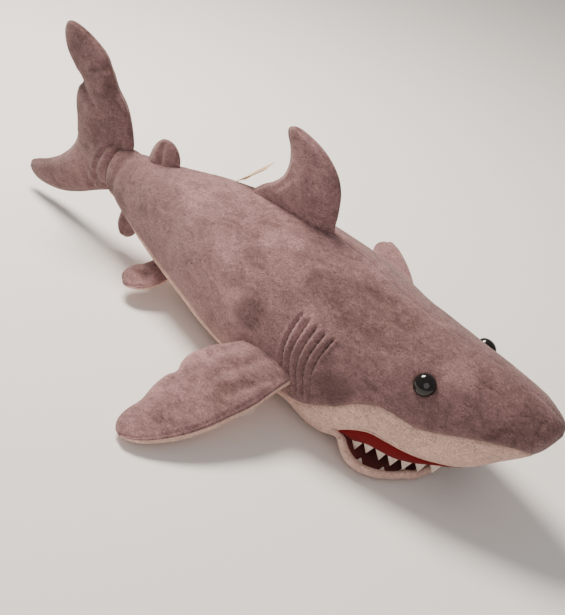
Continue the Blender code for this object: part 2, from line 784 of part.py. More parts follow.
def build():
    clear_scene()
    parts = new_collection("plush_shark")
    cutters = new_collection("cutters")

    covers = {side: back_cover(side, parts) for side in ("left", "right")}
    belly_cover(parts)
    muzzle_cover(parts)
    body_stuffing(parts)
    head = head_stuffing(parts)
    palate_lining(parts)
    upper_gum(parts)
    upper_teeth(parts)
    for side in ("left", "right"):
        eye(side, parts)
        eye_washer(side, parts)
        hole = eye_cutter("eye_hole_" + side, SHANK_RADIUS + TOUCH_GAP, 20 * MM, side, cutters)
        cut(covers[side], hole)
        pocket = eye_cutter("eye_pocket_" + side, WASHER_RADIUS + 1 * MM, 30 * MM, side, cutters)
        cut(head, pocket)
        for number in range(GILL_COUNT):
            gill_thread(side, number, parts)

    jaw = [jaw_cover(parts), jaw_lining(parts), jaw_stuffing(parts), lower_teeth(parts)]
    hinge("jaw_axis", millimetres(JAW_HINGE[0], 0, JAW_HINGE[1]), jaw, parts)
    hinge("dorsal_fin_axis", millimetres(0, 0, 142.6), dorsal_fin(parts), parts)
    hinge("second_dorsal_fin_axis", millimetres(-145, 0, 114.3), second_dorsal_fin(parts), parts)
    hinge("anal_fin_axis", millimetres(-172, 0, 39), anal_fin(parts), parts)
    for side, sign in (("left", 1), ("right", -1)):
        out, up = PECTORAL_ROOT
        hinge("pectoral_fin_axis_" + side, millimetres(62, sign * out, up), pectoral_fin(side, parts), parts)
        out, up = PELVIC_ROOT
        hinge("pelvic_fin_axis_" + side, millimetres(-104, sign * out, up), pelvic_fin(side, parts), parts)
    hinge("tail_fin_axis", millimetres(TAIL_AXIS_X, 0, 78), tail_covers(parts) + [tail_stuffing(parts)], parts)
    hinge("care_label_axis", millimetres(*LABEL_ROOT), care_label(parts), parts)


build()
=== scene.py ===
"""Plush shark: the sewn look of the toy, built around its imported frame.

Works in millimetres and writes metres. +X is the snout, +Y the shark's left side, +Z up.
"""

import json
import math

import bmesh
import bpy
import numpy as np
from bpy.props import FloatProperty, FloatVectorProperty, IntProperty, PointerProperty
from mathutils import Matrix, Vector

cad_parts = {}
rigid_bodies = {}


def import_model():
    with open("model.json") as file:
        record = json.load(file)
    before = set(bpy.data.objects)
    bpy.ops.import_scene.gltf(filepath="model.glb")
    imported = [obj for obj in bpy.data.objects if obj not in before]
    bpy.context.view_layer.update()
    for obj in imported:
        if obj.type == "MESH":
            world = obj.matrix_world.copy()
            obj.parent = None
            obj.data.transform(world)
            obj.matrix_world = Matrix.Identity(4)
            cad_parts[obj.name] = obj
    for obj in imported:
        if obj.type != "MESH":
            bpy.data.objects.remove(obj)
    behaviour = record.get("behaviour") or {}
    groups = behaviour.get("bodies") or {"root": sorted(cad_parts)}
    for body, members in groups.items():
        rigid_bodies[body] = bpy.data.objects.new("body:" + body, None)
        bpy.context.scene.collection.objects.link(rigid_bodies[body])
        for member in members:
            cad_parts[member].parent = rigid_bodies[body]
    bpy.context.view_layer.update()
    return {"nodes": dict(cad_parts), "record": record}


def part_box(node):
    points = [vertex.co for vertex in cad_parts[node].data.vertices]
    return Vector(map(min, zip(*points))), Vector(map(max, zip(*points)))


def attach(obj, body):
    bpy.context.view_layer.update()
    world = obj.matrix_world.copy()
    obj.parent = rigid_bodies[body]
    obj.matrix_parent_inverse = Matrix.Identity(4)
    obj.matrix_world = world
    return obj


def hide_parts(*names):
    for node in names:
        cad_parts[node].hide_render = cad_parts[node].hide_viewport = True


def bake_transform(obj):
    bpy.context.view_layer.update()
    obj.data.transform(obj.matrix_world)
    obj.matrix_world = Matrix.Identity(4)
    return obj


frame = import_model()

bl_info = {
    "name": "Plush Shark",
    "version": (1, 0, 0),
    "blender": (4, 5, 0),
    "location": "View3D > Sidebar > Plush Shark",
    "description": "Builds the sewn panels, fins, mouth, eyes and stitching of a plush shark",
    "category": "Object",
}

MM = 0.001
SIDES = (("left", 1), ("right", -1))

# Body: (x, half width, height of the widest line, top, bottom), tail root to snout.
BODY = (
    (-201, 16.5, 78, 102, 55), (-190, 19, 76, 102, 51), (-161, 26, 69, 106, 39), (-118, 37, 64, 117, 23),
    (-71, 49, 60, 129, 10), (-19, 61, 56, 136.5, -2), (33, 71, 53, 139.5, -4), (85, 74, 52, 135, -4),
    (132, 70, 54, 125, 3), (175, 62, 58, 120, 23), (210, 52, 65, 117.5, 31), (238, 41, 73, 115, 39),
    (260, 30, 82, 112, 55), (275, 19, 89, 107.5, 71), (283, 10, 93, 102, 84), (286, 1.2, 94, 95.4, 92.6),
)
TOP_POWER = 1.85
BOTTOM_POWER = 2.1
SIDE_SEAM = (
    (-201, 62), (-156, 47), (-94, 40), (-51, 33), (0, 25), (60, 24), (100, 30), (132, 46),
    (149, 58), (165, 66), (177, 67), (188, 65.5), (199, 64.5), (214, 68), (230, 72.5), (244, 76), (258, 78),
    (268, 77), (274, 73),
)
UPPER_LIP = (
    (140, 25), (146, 31), (155, 37), (167, 41), (179, 40.5), (190, 38.5), (202, 37), (215, 37), (228, 38.6),
    (241, 40.4),
)
JAW = (
    (150, 70, 23, 2.6), (158, 71.5, 16, 1.6), (168, 70.5, 11.5, 1.5), (178, 66.5, 10.4, 1.5),
    (188, 59.5, 10.4, 1.5),
    (198, 46, 11, 1.8), (205, 30, 12, 2.8), (209, 15, 12.6, 5.5), (210.5, 2, 12.8, 10.8),
)
TAIL_ROOT_X = -201
THROAT_X = 139
THROAT_HALF = 68.0
LIP_CORNER_Z = 25
MOUTH_FRONT_X = 241
SNOUT_SEAM_X = 274

# Fins: (leading x, leading b, trailing x, trailing b, half thickness), from inside the body to the tip.
DORSAL = (
    (50, 130, -46, 126, 8), (49, 138, -42, 134, 7.4), (48, 146, -36, 141, 7.6),
    (47.8, 153, -29.5, 147, 8.4),
    (47, 160, -22.5, 152, 9), (44.5, 173, -14.5, 161, 9), (38, 185, -11.5, 171, 8.2),
    (27, 194.5, -12, 180, 7),
    (13, 201.5, -15, 189, 5.6), (-2, 205.5, -19.5, 196, 4), (-10, 206.5, -21, 200.5, 2.6),
    (-15.5, 206, -20, 203.6, 0.6),
)
SECOND_DORSAL = (
    (-126, 104, -166, 98, 5.4), (-126.3, 112, -165.5, 105, 5), (-127, 119.5, -164, 111.5, 4.8),
    (-129.5, 125, -162, 118, 4.8),
    (-134, 129.5, -159, 124, 4.4), (-140, 132.3, -155, 128.8, 3.4), (-145.5, 133, -151, 131.8, 0.6),
)
ANAL = (
    (-153, 50, -181, 58, 4.6), (-157, 41, -184.5, 49, 4.4), (-160, 34, -186.5, 41.5, 4.4),
    (-163.5, 27, -188.5, 33, 4.4),
    (-168, 20.5, -189, 25, 4), (-174, 16, -186.5, 18.5, 3), (-179.5, 14.8, -183, 15.6, 0.6),
)
PECTORAL = (
    (95, -16, 35, -16, 9.5), (94, -6, 32, -6, 9), (92.8, 4, 26, 3, 9), (92, 15, 20.5, 11, 9.6),
    (91, 32, 15, 28, 10),
    (88.5, 44, 16.5, 40, 9.8), (86, 53, 20.5, 49, 9.4), (83.5, 63, 17.6, 59, 9.6),
    (79, 77, 18.5, 73, 9.2), (72, 92, 22, 88, 8.2),
    (62, 107, 21, 101, 6.8), (52, 117.5, 22, 110, 5.2), (44, 122, 25, 116.5, 3.6),
    (37.5, 123.8, 30, 121.5, 0.6),
)
PELVIC = (
    (-88.5, -9, -118, -9, 4.4), (-88, 2, -120, 1, 4.2), (-88.2, 10, -124.5, 8, 4.4),
    (-91, 20, -126, 17, 4.2),
    (-97, 28, -123, 25, 3.8), (-105, 32.5, -116.5, 30.5, 2.8), (-109.5, 33.4, -113, 33, 0.6),
)
PECTORAL_ROOT = (78.5, 44)
PECTORAL_DROOP = {"right": math.radians(18), "left": math.radians(14)}
PECTORAL_BEND = {"right": (0, 0), "left": (42, 35)}
PECTORAL_REACH = 123.8
PELVIC_ROOT = (28.5, 24)
PELVIC_DROOP = math.radians(15)
# Tail: (front x, front z, front y, rear x, rear z, half thickness), lower tip to upper tip. A front y of
# -1 stands for the body's own half width there.
TAIL = (
    (-323.5, 21.5, 0, -324, 23.5, 0.6), (-320, 17, 0, -322.5, 29, 3), (-309, 13.6, 0, -314, 34.5, 5),
    (-290, 14.6, 0, -299, 42, 7),
    (-268, 20, 0, -283, 53, 8.6), (-246, 30, 0, -272, 64, 9.6), (-226, 41.5, 0, -266, 72, 10),
    (-211, 49.5, 0, -263, 78, 10),
    (-200, 55.5, 1, -262.4, 81, 10), (-196, 59, -1, -262, 84, 10), (-196, 68, -1, -262, 89, 10),
    (-196, 78, -1, -263, 94, 10),
    (-196, 88, -1, -265, 101, 10), (-196, 95, -1, -267, 107, 9.6), (-194.5, 99, 3.5, -269.5, 114, 9.4),
    (-188, 101, 1.5, -271, 121, 9), (-186.5, 107, 0, -270.8, 128, 9), (-190.5, 119, 0, -269, 134, 9),
    (-200.5, 137, 0, -265, 140, 9), (-216, 150.5, 0, -269, 146, 8.4),
    (-228, 165, 0, -279, 150.5, 7.6), (-240, 177, 0, -288, 157, 7), (-258, 184.5, 0, -296, 167, 5.8),
    (-275, 188.5, 0, -299.5, 177, 4.4), (-288, 189.5, 0, -298.5, 184.5, 2.6),
    (-294, 188.6, 0, -296, 187.4, 0.6),
)

# Gill tucks, eye and mouth details.
GILL_COUNT = 5
GILL_TOP_X, GILL_TOP_Z = (78, 111), (97, 93)
GILL_BOTTOM_X, GILL_BOTTOM_Z = (87, 114), 41
GILL_BOW = 5
EYE_X, EYE_Z = 189, 95
UPPER_TOOTH_COUNT = 14
LOWER_TOOTH_COUNT = 10
FIRST_TOOTH = 21.5  # from the mouth's corner along the lip
TOOTH_PITCH = 10.8
LOWER_TOOTH_INSET = 7.2
JAW_RIM_RADIUS = 3.3
LABEL_LENGTH = 34.0
LABEL_SEWN_IN = 4.0

# Stage, metres and degrees.
LIGHT_TARGET = Vector((0, 0, 0.06))
SKY_STRENGTH = 0.37
CAMERA_LENS = 61.97
CAMERA_PLACE = Vector((0.4459, -0.6681, 0.5216))
CAMERA_AZIMUTH, CAMERA_ELEVATION, CAMERA_ROLL = 32.49, 30.80, 15.82


class SharkSizes(bpy.types.PropertyGroup):
    eye_diameter: FloatProperty(
        name="Eye diameter", description="Width of the glossy eye dome", default=0.018, unit="LENGTH")
    tooth_height: FloatProperty(
        name="Tooth height", description="Height of an upper felt tooth", default=0.0087, unit="LENGTH")
    stitch_length: FloatProperty(
        name="Stitch length", description="Length of one gill stitch", default=0.0028, unit="LENGTH")
    stitch_count: IntProperty(
        name="Stitches per gill", description="Number of stitches along one gill tuck", default=17, min=2)
    lumpiness: FloatProperty(
        name="Lumpiness", description="Height of the soft lumps of the filling", default=0.0011,
        unit="LENGTH")
    seam_depth: FloatProperty(
        name="Seam depth", description="How far a seam pulls the plush in", default=0.0013, unit="LENGTH")


class SharkColours(bpy.types.PropertyGroup):
    grey: FloatVectorProperty(
        name="Grey plush", description="Middle tone of the back", subtype="COLOR", size=3,
        default=(0.212, 0.121, 0.123))
    cream: FloatVectorProperty(
        name="Cream plush", description="Middle tone of the belly", subtype="COLOR", size=3,
        default=(0.63, 0.41, 0.345))
    gum: FloatVectorProperty(
        name="Red felt", description="Felt of the gum band", subtype="COLOR", size=3,
        default=(0.145, 0.0035, 0.005))
    lining: FloatVectorProperty(
        name="Mouth lining", description="Dark lining of the mouth", subtype="COLOR", size=3,
        default=(0.15, 0.018, 0.018))
    tooth: FloatVectorProperty(
        name="Tooth felt", description="Felt of the teeth", subtype="COLOR", size=3,
        default=(0.66, 0.52, 0.45))
    ribbon: FloatVectorProperty(
        name="Label ribbon", description="Ribbon of the care label", subtype="COLOR", size=3,
        default=(0.80, 0.52, 0.30))


# Shapes, as arrays of points in millimetres.

def curve(table, x):
    """The table's rows at each x, on a smooth curve through them."""
    rows = np.array(table, float)
    at, values = rows[:, 0], rows[:, 1:]
    last = len(at) - 1
    high = np.minimum(np.arange(last + 1) + 1, last)
    low = np.maximum(np.arange(last + 1) - 1, 0)
    slopes = (values[high] - values[low]) / (at[high] - at[low])[:, None]
    x = np.clip(np.asarray(x, float), at[0], at[-1])
    i = np.clip(np.searchsorted(at, x, side="right") - 1, 0, last - 1)
    span = (at[i + 1] - at[i])[..., None]
    t = (x[..., None] - at[i][..., None]) / span
    return (
        values[i] * (1 + 2 * t) * (1 - t) ** 2 + values[i + 1] * t * t * (3 - 2 * t)
        + span * t * (1 - t) * (slopes[i] * (1 - t) - slopes[i + 1] * t)
    )


def along(rows, count):
    """count rows on a smooth curve through the given rows."""
    table = [(i, *row) for i, row in enumerate(rows)]
    return curve(table, np.linspace(0, len(rows) - 1, count))


def step(low, high, value):
    """0 before low, 1 after high and smooth between."""
    t = np.clip((value - low) / (high - low), 0, 1)
    return t * t * (3 - 2 * t)


def bell(distance, width):
    return np.exp(-((distance / width) ** 2))


def lumps(points, size, seed):
    """Smooth noise from -1 to 1 with lumps of about the given size, millimetres."""
    lattice = np.random.default_rng(seed).uniform(-1, 1, (32, 32, 32))
    place = points / size + 100
    cell = np.floor(place).astype(int)
    t = place - cell
    t = t * t * (3 - 2 * t)
    total = 0
    for dx in (0, 1):
        for dy in (0, 1):
            for dz in (0, 1):
                weight = (
                    (t[..., 0] if dx else 1 - t[..., 0]) * (t[..., 1] if dy else 1 - t[..., 1])
                    * (t[..., 2] if dz else 1 - t[..., 2])
                )
                corner = lattice[(cell[..., 0] + dx) % 32, (cell[..., 1] + dy) % 32,
                    (cell[..., 2] + dz) % 32]
                total = total + weight * corner
    return total


def bottom_power(x):
    """Squareness of the section's lower half: fuller at the throat and under the cheeks."""
    return BOTTOM_POWER + 1.6 * step(80, 130, x) * (1 - step(225, 265, x))


def skin(x, angle):
    """Points of the right side of the body's skin. angle is 0 at the top and pi underneath."""
    half, middle, top, bottom = np.moveaxis(curve(BODY, x), -1, 0)
    sine, cosine = np.sin(angle), np.cos(angle)
    power = 2 / np.where(cosine > 0, TOP_POWER, bottom_power(x))
    y = -half * np.sign(sine) * np.abs(sine) ** power
    reach = np.where(cosine > 0, top - middle, middle - bottom)
    z = middle + reach * np.sign(cosine) * np.abs(cosine) ** power
    rest = 2.4
    z = np.where(z < 12, (z + np.sqrt(z * z + rest * rest)) / 2, z)
    return np.stack([x + 0 * angle, y, z], -1)


def angle_at(x, z):
    middle, top, bottom = np.moveaxis(curve(BODY, x), -1, 0)[1:]
    up = np.clip((z - middle) / (top - middle), 0, 1) ** (TOP_POWER / 2)
    down = np.clip((middle - z) / (middle - bottom), 0, 1) ** (bottom_power(x) / 2)
    return np.where(z >= middle, np.arccos(up), math.pi - np.arccos(down))


def seam_angle(x):
    return np.where(x >= SNOUT_SEAM_X, math.pi, angle_at(x, curve(SIDE_SEAM, x)[..., 0]))


def lip_angle(x):
    return np.where(x >= MOUTH_FRONT_X, math.pi, angle_at(x, curve(UPPER_LIP, x)[..., 0]))


def mirrored(grid, sign):
    """A grid made for the right side, moved to the left for sign 1."""
    return grid * np.array([1, -sign, 1])


def normals_of(grid, away):
    """Unit normals of a grid, on the side that points away."""
    along_rows = np.gradient(grid, axis=0)
    across = np.gradient(grid, axis=1)
    normal = np.cross(along_rows, across)
    normal /= np.maximum(np.linalg.norm(normal, axis=-1, keepdims=True), 1e-9)
    return normal * np.sign((normal * away).sum(-1).mean())


def edge_distance(grid, first=True, last=True):
    """Distance of each point from its row's first and last point, along the row."""
    steps = np.linalg.norm(np.diff(grid, axis=1), axis=-1)
    travelled = np.concatenate([np.zeros((len(grid), 1)), np.cumsum(steps, 1)], 1)
    distance = np.full(travelled.shape, 1e3)
    if first:
        distance = np.minimum(distance, travelled)
    if last:
        distance = np.minimum(distance, travelled[:, -1:] - travelled)
    return distance


def seam_pull(distance, depth):
    """How a seam shapes the plush beside it: a narrow groove with a soft roll next to it."""
    return -depth * bell(distance, 1.7) + 0.35 * depth * bell(distance - 5.5, 3.5)


def arc_x(heights, z):
    """x of a fold that runs across the body, given as (z, x) rows."""
    return curve(heights, z)[..., 0]


def relief(grid, sizes):
    """Height of the soft details above the plain skin, millimetres."""
    x, y, z = grid[..., 0], np.abs(grid[..., 1]), grid[..., 2]
    strength = sizes.lumpiness / MM
    height = strength * (0.7 * lumps(grid, 42, 1) + 0.35 * lumps(grid, 17, 2) + 0.13 * lumps(grid, 6, 3))
    side = step(25, 45, y)
    for number in range(GILL_COUNT):
        t = number / (GILL_COUNT - 1)
        top_x = GILL_TOP_X[0] + (GILL_TOP_X[1] - GILL_TOP_X[0]) * t
        top_z = GILL_TOP_Z[0] + (GILL_TOP_Z[1] - GILL_TOP_Z[0]) * t
        bottom_x = GILL_BOTTOM_X[0] + (GILL_BOTTOM_X[1] - GILL_BOTTOM_X[0]) * t
        s = (top_z - z) / (top_z - GILL_BOTTOM_Z)
        line = top_x + (bottom_x - top_x) * s - GILL_BOW * np.sin(np.clip(s, 0, 1) * math.pi)
        inside = step(-0.05, 0.03, s) * (1 - step(0.97, 1.05, s)) * side
        pucker = 0.82 + 0.3 * np.cos(2 * math.pi * s * 11 + number)
        away = x - line
        height += inside * (-1.9 * pucker * bell(away, 1.25) + 1.0 * bell(away - 3.2,
            1.9) + 0.7 * bell(away + 3.2, 2.0))
    eye_away = np.sqrt((x - EYE_X) ** 2 + (z - EYE_Z) ** 2)
    height += side * step(150, 170, x) * (-1.5 * bell(eye_away, 8.5) + 0.6 * bell(eye_away - 14, 5))
    for ax, az, bx, bz, depth, width in (
        (204, 82, 208, 71, 1.3, 1.8), (272, 101, 272.5, 89, 1.6, 1.7), (136, 33, 128, 45, 1.4, 2.2),
        (196, 104, 200, 108, 0.5, 3.0),
    ):
        run = np.array([bx - ax, bz - az], float)
        share = np.clip(((x - ax) * run[0] + (z - az) * run[1]) / (run @ run), 0, 1)
        off = np.sqrt((x - ax - share * run[0]) ** 2 + (z - az - share * run[1]) ** 2)
        height -= depth * bell(off, width) * step(8, 14, y)
    folds = (((50, -207), (84, -203.5), (104, -198)), 1.5,
        2.3), (((50, -226), (58, -221), (74, -218), (94, -211), (106, -204)), 1.7, 2.4)
    for heights, depth, width in folds:
        reach = 1 - step(104, 112, z)
        away = x - arc_x(heights, z)
        height += reach * (-depth * bell(away, width) + 0.6 * depth * bell(away + 5, 3))
    soft = x - arc_x(((40, -190), (78, -184), (104, -180)), z)
    height += (1 - step(106, 112, z)) * (-0.8 * bell(soft, 4.5) + 0.5 * bell(soft + 8, 4))
    return height


# Meshes.

def deselect():
    for item in bpy.context.view_layer.objects:
        item.select_set(False)


def pick(item):
    deselect()
    item.select_set(True)
    bpy.context.view_layer.objects.active = item


def mesh_object(name, points, faces):
    """A mesh object through points given in millimetres."""
    mesh = bpy.data.meshes.new(name)
    mesh.from_pydata((np.asarray(points) * MM).tolist(), [], faces)
    item = bpy.data.objects.new(name, mesh)
    bpy.context.scene.collection.objects.link(item)
    return item


def tidy(item, recalculate=True, merge=0.00002):
    """Merges the doubles of a closed mesh, points its faces outward and shades it smooth."""
    shape = bmesh.new()
    shape.from_mesh(item.data)
    bmesh.ops.remove_doubles(shape, verts=shape.verts, dist=merge)
    bmesh.ops.dissolve_degenerate(shape, edges=shape.edges, dist=1e-7)
    if recalculate:
        bmesh.ops.recalc_face_normals(shape, faces=shape.faces)
    shape.to_mesh(item.data)
    shape.free()
    item.data.shade_smooth()
    return item


def shell(name, outer, inner):
    """A closed panel between an outer and an inner grid of the same size."""
    rows, columns = outer.shape[:2]
    count = rows * columns
    index = np.arange(count).reshape(rows, columns)
    faces = []
    a, b, c, d = index[:-1, :-1], index[1:, :-1], index[1:, 1:], index[:-1, 1:]
    quads = np.stack([a, b, c, d], -1).reshape(-1, 4)
    faces.extend(quads.tolist())
    faces.extend((quads[:, ::-1] + count).tolist())
    rim = np.concatenate([index[0, :-1], index[:-1, -1], index[-1, :0:-1], index[:0:-1, 0]])
    for k, here in enumerate(rim):
        after = rim[(k + 1) % len(rim)]
        faces.append([int(here), int(after), int(after + count), int(here + count)])
    points = np.concatenate([outer.reshape(-1, 3), inner.reshape(-1, 3)])
    return tidy(mesh_object(name, points, faces))


def skin_panel(grid, away, seams, sizes, thickness=2.4):
    """A body panel: the grid raised by its relief and pulled in at its seams, with its thickness inside."""
    normal = normals_of(grid, away)
    height = relief(grid, sizes) + seams
    outer = grid + normal * height[..., None]
    inner = outer - normal * thickness
    return outer, inner


def finish_piece(item, material, slot, *nodes, fill=None):
    """Gives a piece its finish and hides the nodes that it stands for; slot and fill are not used."""
    item.data.materials.clear()
    item.data.materials.append(material)
    if nodes:
        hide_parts(*nodes)
    return item


def over_tail(item):
    """Bakes the piece's placement into its mesh."""
    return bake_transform(item)


def mixed_stations(*runs):
    """Stations along the body: runs of (start, end, step), each without its end."""
    stations = [np.arange(start, end, gap) for start, end, gap in runs]
    return np.concatenate(stations)


STATIONS = np.concatenate([
    mixed_stations((-201, -176, 1.3), (-176, 70, 2.2), (70, 120, 0.8), (120, 258, 1.6), (258, 280, 1.1)),
    np.array([280, 281, 282, 283, 284, 284.8, 285.4, 285.8, 286]),
])


# Materials.

class Nodes:
    """Short ways to add and join the nodes of one material."""

    def __init__(self, name):
        self.material = bpy.data.materials.new(name)
        self.material.use_nodes = True
        self.tree = self.material.node_tree
        self.shader = self.tree.nodes["Principled BSDF"]
        self.place = self.tree.nodes.new("ShaderNodeTexCoord").outputs["Object"]

    def add(self, kind, **inputs):
        node = self.tree.nodes.new(kind)
        for name, value in inputs.items():
            socket = node.inputs[name.replace("_", " ")]
            if isinstance(value, bpy.types.NodeSocket):
                self.tree.links.new(value, socket)
            else:
                socket.default_value = value
        return node

    def link(self, source, target):
        self.tree.links.new(source, target)

    def noise(self, scale, detail=3.0, roughness=0.5, stretch=None, distortion=0.0):
        vector = self.place
        if stretch:
            mapping = self.add("ShaderNodeMapping", Vector=self.place, Scale=stretch)
            vector = mapping.outputs["Vector"]
        node = self.add(
            "ShaderNodeTexNoise", Vector=vector, Scale=scale, Detail=detail, Roughness=roughness,
            Distortion=distortion)
        return node.outputs["Fac"]

    def ramp(self, value, *stops):
        """A colour ramp; stops are (position, grey level or colour)."""
        node = self.add("ShaderNodeValToRGB", Fac=value)
        band = node.color_ramp
        while len(band.elements) < len(stops):
            band.elements.new(0.5)
        for element, (position, colour) in zip(band.elements, stops):
            element.position = position
            element.color = (*colour, 1) if hasattr(colour, "__len__") else (colour, colour, colour, 1)
        return node.outputs["Color"]

    def mix(self, share, one, other, blend="MIX"):
        node = self.tree.nodes.new("ShaderNodeMix")
        node.data_type = "RGBA"
        node.blend_type = blend
        for socket, value in ((node.inputs[0], share), (node.inputs[6], one), (node.inputs[7], other)):
            if isinstance(value, bpy.types.NodeSocket):
                self.link(value, socket)
            elif hasattr(value, "__len__"):
                socket.default_value = (*value[:3], 1)
            else:
                socket.default_value = value
        return node.outputs[2]

    def math(self, operation, one, other=0.0):
        node = self.tree.nodes.new("ShaderNodeMath")
        node.operation = operation
        for socket, value in ((node.inputs[0], one), (node.inputs[1], other)):
            if isinstance(value, bpy.types.NodeSocket):
                self.link(value, socket)
            else:
                socket.default_value = value
        return node.outputs[0]

    def bump(self, height, strength, distance, normal=None):
        node = self.add("ShaderNodeBump", Height=height, Strength=strength, Distance=distance)
        if normal is not None:
            self.link(normal, node.inputs["Normal"])
        return node.outputs["Normal"]

    def surface(self, colour, roughness, normal=None, **fixed):
        for value, name in ((colour, "Base Color"), (roughness, "Roughness"), (normal, "Normal")):
            if isinstance(value, bpy.types.NodeSocket):
                self.link(value, self.shader.inputs[name])
            elif value is not None:
                self.shader.inputs[name].default_value = (*value[:3], 1) if hasattr(value,
                    "__len__") else value
        for name, value in fixed.items():
            self.shader.inputs[name.replace("_", " ")].default_value = value
        return self.material


def scaled(colour, factor, warm=0.0):
    return (colour[0] * factor * (1 + warm), colour[1] * factor, colour[2] * factor * (1 - warm))


def plush(name, base, contrast, pile, painted_light=None, pile_and_highlight_marks=()):
    """Short brushed pile: patches that lie one way or the other, streaks, curly tufts and a soft sheen.

    shade gives painted light and shade along the toy, as (x, factor) stops: lighter mid-back and darker
    towards the tail and the snout. marks, as (place, radius, depth, factor), are pile brushed flat where
    they darken and painted highlights where they lighten.
    """
    n = Nodes(name)
    patches = n.noise(21.0, 3.0, 0.5, (1.0, 1.2, 1.0), 0.5)
    streaks = n.noise(85.0, 4.0, 0.6, (0.55, 1.0, 1.0), 1.2)
    tufts = n.noise(430.0, 3.0, 0.75, (0.7, 1.0, 1.0), 1.6)
    fine = n.noise(1300.0, 2.0, 0.7)
    dark, light = scaled(base, 1 - 0.34 * contrast, 0.02), scaled(base, 1 + 0.55 * contrast, 0.015)
    tone = n.ramp(patches, (0.34, dark), (0.46, scaled(base, 0.94)), (0.60, scaled(base, 1.05)),
        (0.72, light))
    tone = n.mix(n.ramp(streaks, (0.42, 0.0), (0.72, 0.6 * contrast)), tone, light)
    tone = n.mix(n.ramp(streaks, (0.28, 0.45 * contrast), (0.46, 0.0)), tone, dark)
    # Painted light and shade: the tone along x is raised mid-back and lowered towards the tail and the
    # snout.
    if painted_light:
        along_x = n.add("ShaderNodeSeparateXYZ", Vector=n.place).outputs["X"]
        level = n.math("ADD", n.math("MULTIPLY", along_x, 1.6), 0.5)
        ramp = n.ramp(level, *[(x * 1.6 + 0.5, factor / 1.4) for x, factor in painted_light])
        tone = n.mix(1.0, tone, n.mix(1.0, ramp, (1.4, 1.4, 1.4), "MULTIPLY"), "MULTIPLY")
    # Marks that darken are pile brushed flat; marks that lighten are painted highlights.
    for place, radius, depth, factor in pile_and_highlight_marks:
        away = n.tree.nodes.new("ShaderNodeVectorMath")
        away.operation = "DISTANCE"
        n.link(n.place, away.inputs[0])
        away.inputs[1].default_value = place
        ragged = n.math("ADD", n.math("DIVIDE", away.outputs["Value"], radius),
            n.math("MULTIPLY", streaks, 0.5))
        tone = n.mix(n.ramp(n.math("MULTIPLY", ragged, 0.5), (0.42, depth), (0.68, 0.0)), tone,
            scaled(base, factor))
    grain = n.ramp(tufts, (0.28, 0.50), (0.50, 0.98), (0.72, 1.50))
    tone = n.mix(1.0, tone, grain, "MULTIPLY")
    height = n.math("ADD", n.math("MULTIPLY", tufts, 0.7), n.math("MULTIPLY", fine, 0.3))
    normal = n.bump(height, 0.8, pile)
    normal = n.bump(streaks, 0.45, 0.002, normal)
    return n.surface(
        tone, 0.95, normal, Sheen_Weight=0.38, Sheen_Roughness=0.35,
        Sheen_Tint=(1.0, 0.86, 0.80, 1.0), Specular_IOR_Level=0.12)


def felt(name, base, weight=0.3):
    n = Nodes(name)
    fibres = n.noise(420.0, 4.0, 0.65, (1.0, 1.0, 1.0), 1.4)
    cloud = n.noise(120.0, 2.0, 0.5)
    tone = n.ramp(fibres, (0.32, scaled(base, 0.66)), (0.52, base), (0.74, scaled(base, 1.32)))
    tone = n.mix(n.ramp(cloud, (0.35, 0.0), (0.75, 0.35)), tone, scaled(base, 0.72))
    return n.surface(
        tone, 0.9, n.bump(fibres, 0.5, 0.0005), Sheen_Weight=weight, Sheen_Roughness=0.5,
        Specular_IOR_Level=0.2)


def woven(name, base, pitch, roughness=0.75):
    """A plain weave of threads that run across and along."""
    n = Nodes(name)
    parts = n.add("ShaderNodeSeparateXYZ", Vector=n.place).outputs
    turn = 2 * math.pi / pitch
    across = n.math("SINE", n.math("MULTIPLY", parts["Y"], turn))
    down = n.math("SINE", n.math("MULTIPLY", n.math("ADD", parts["X"], parts["Z"]), turn))
    weave = n.math("MULTIPLY", across, down)
    level = n.math("ADD", n.math("MULTIPLY", weave, 0.5), 0.5)
    cloud = n.noise(60.0, 3.0, 0.5)
    tone = n.ramp(level, (0.0, scaled(base, 0.72)), (1.0, scaled(base, 1.15)))
    tone = n.mix(n.ramp(cloud, (0.35, 0.0), (0.70, 0.45)), tone, scaled(base, 0.6))
    return n.surface(tone, roughness, n.bump(level, 0.4, 0.0003), Sheen_Weight=0.15, Specular_IOR_Level=0.3)


def glossy(name, base, roughness):
    n = Nodes(name)
    haze = n.noise(260.0, 3.0, 0.6)
    tone = n.ramp(haze, (0.3, scaled(base, 0.8)), (0.7, scaled(base, 1.3)))
    rough = n.ramp(n.noise(700.0, 2.0, 0.5), (0.35, roughness * 0.7), (0.75, roughness * 1.6))
    return n.surface(tone, rough, None, Coat_Weight=0.25, Coat_Roughness=0.03, Specular_IOR_Level=0.35)


def fibre(name, base):
    n = Nodes(name)
    tufts = n.noise(160.0, 5.0, 0.7, (1.0, 1.0, 1.0), 2.0)
    tone = n.ramp(tufts, (0.3, scaled(base, 0.78)), (0.7, base))
    return n.surface(tone, 0.95, n.bump(tufts, 0.8, 0.002), Sheen_Weight=0.3)


FINISHES = {}


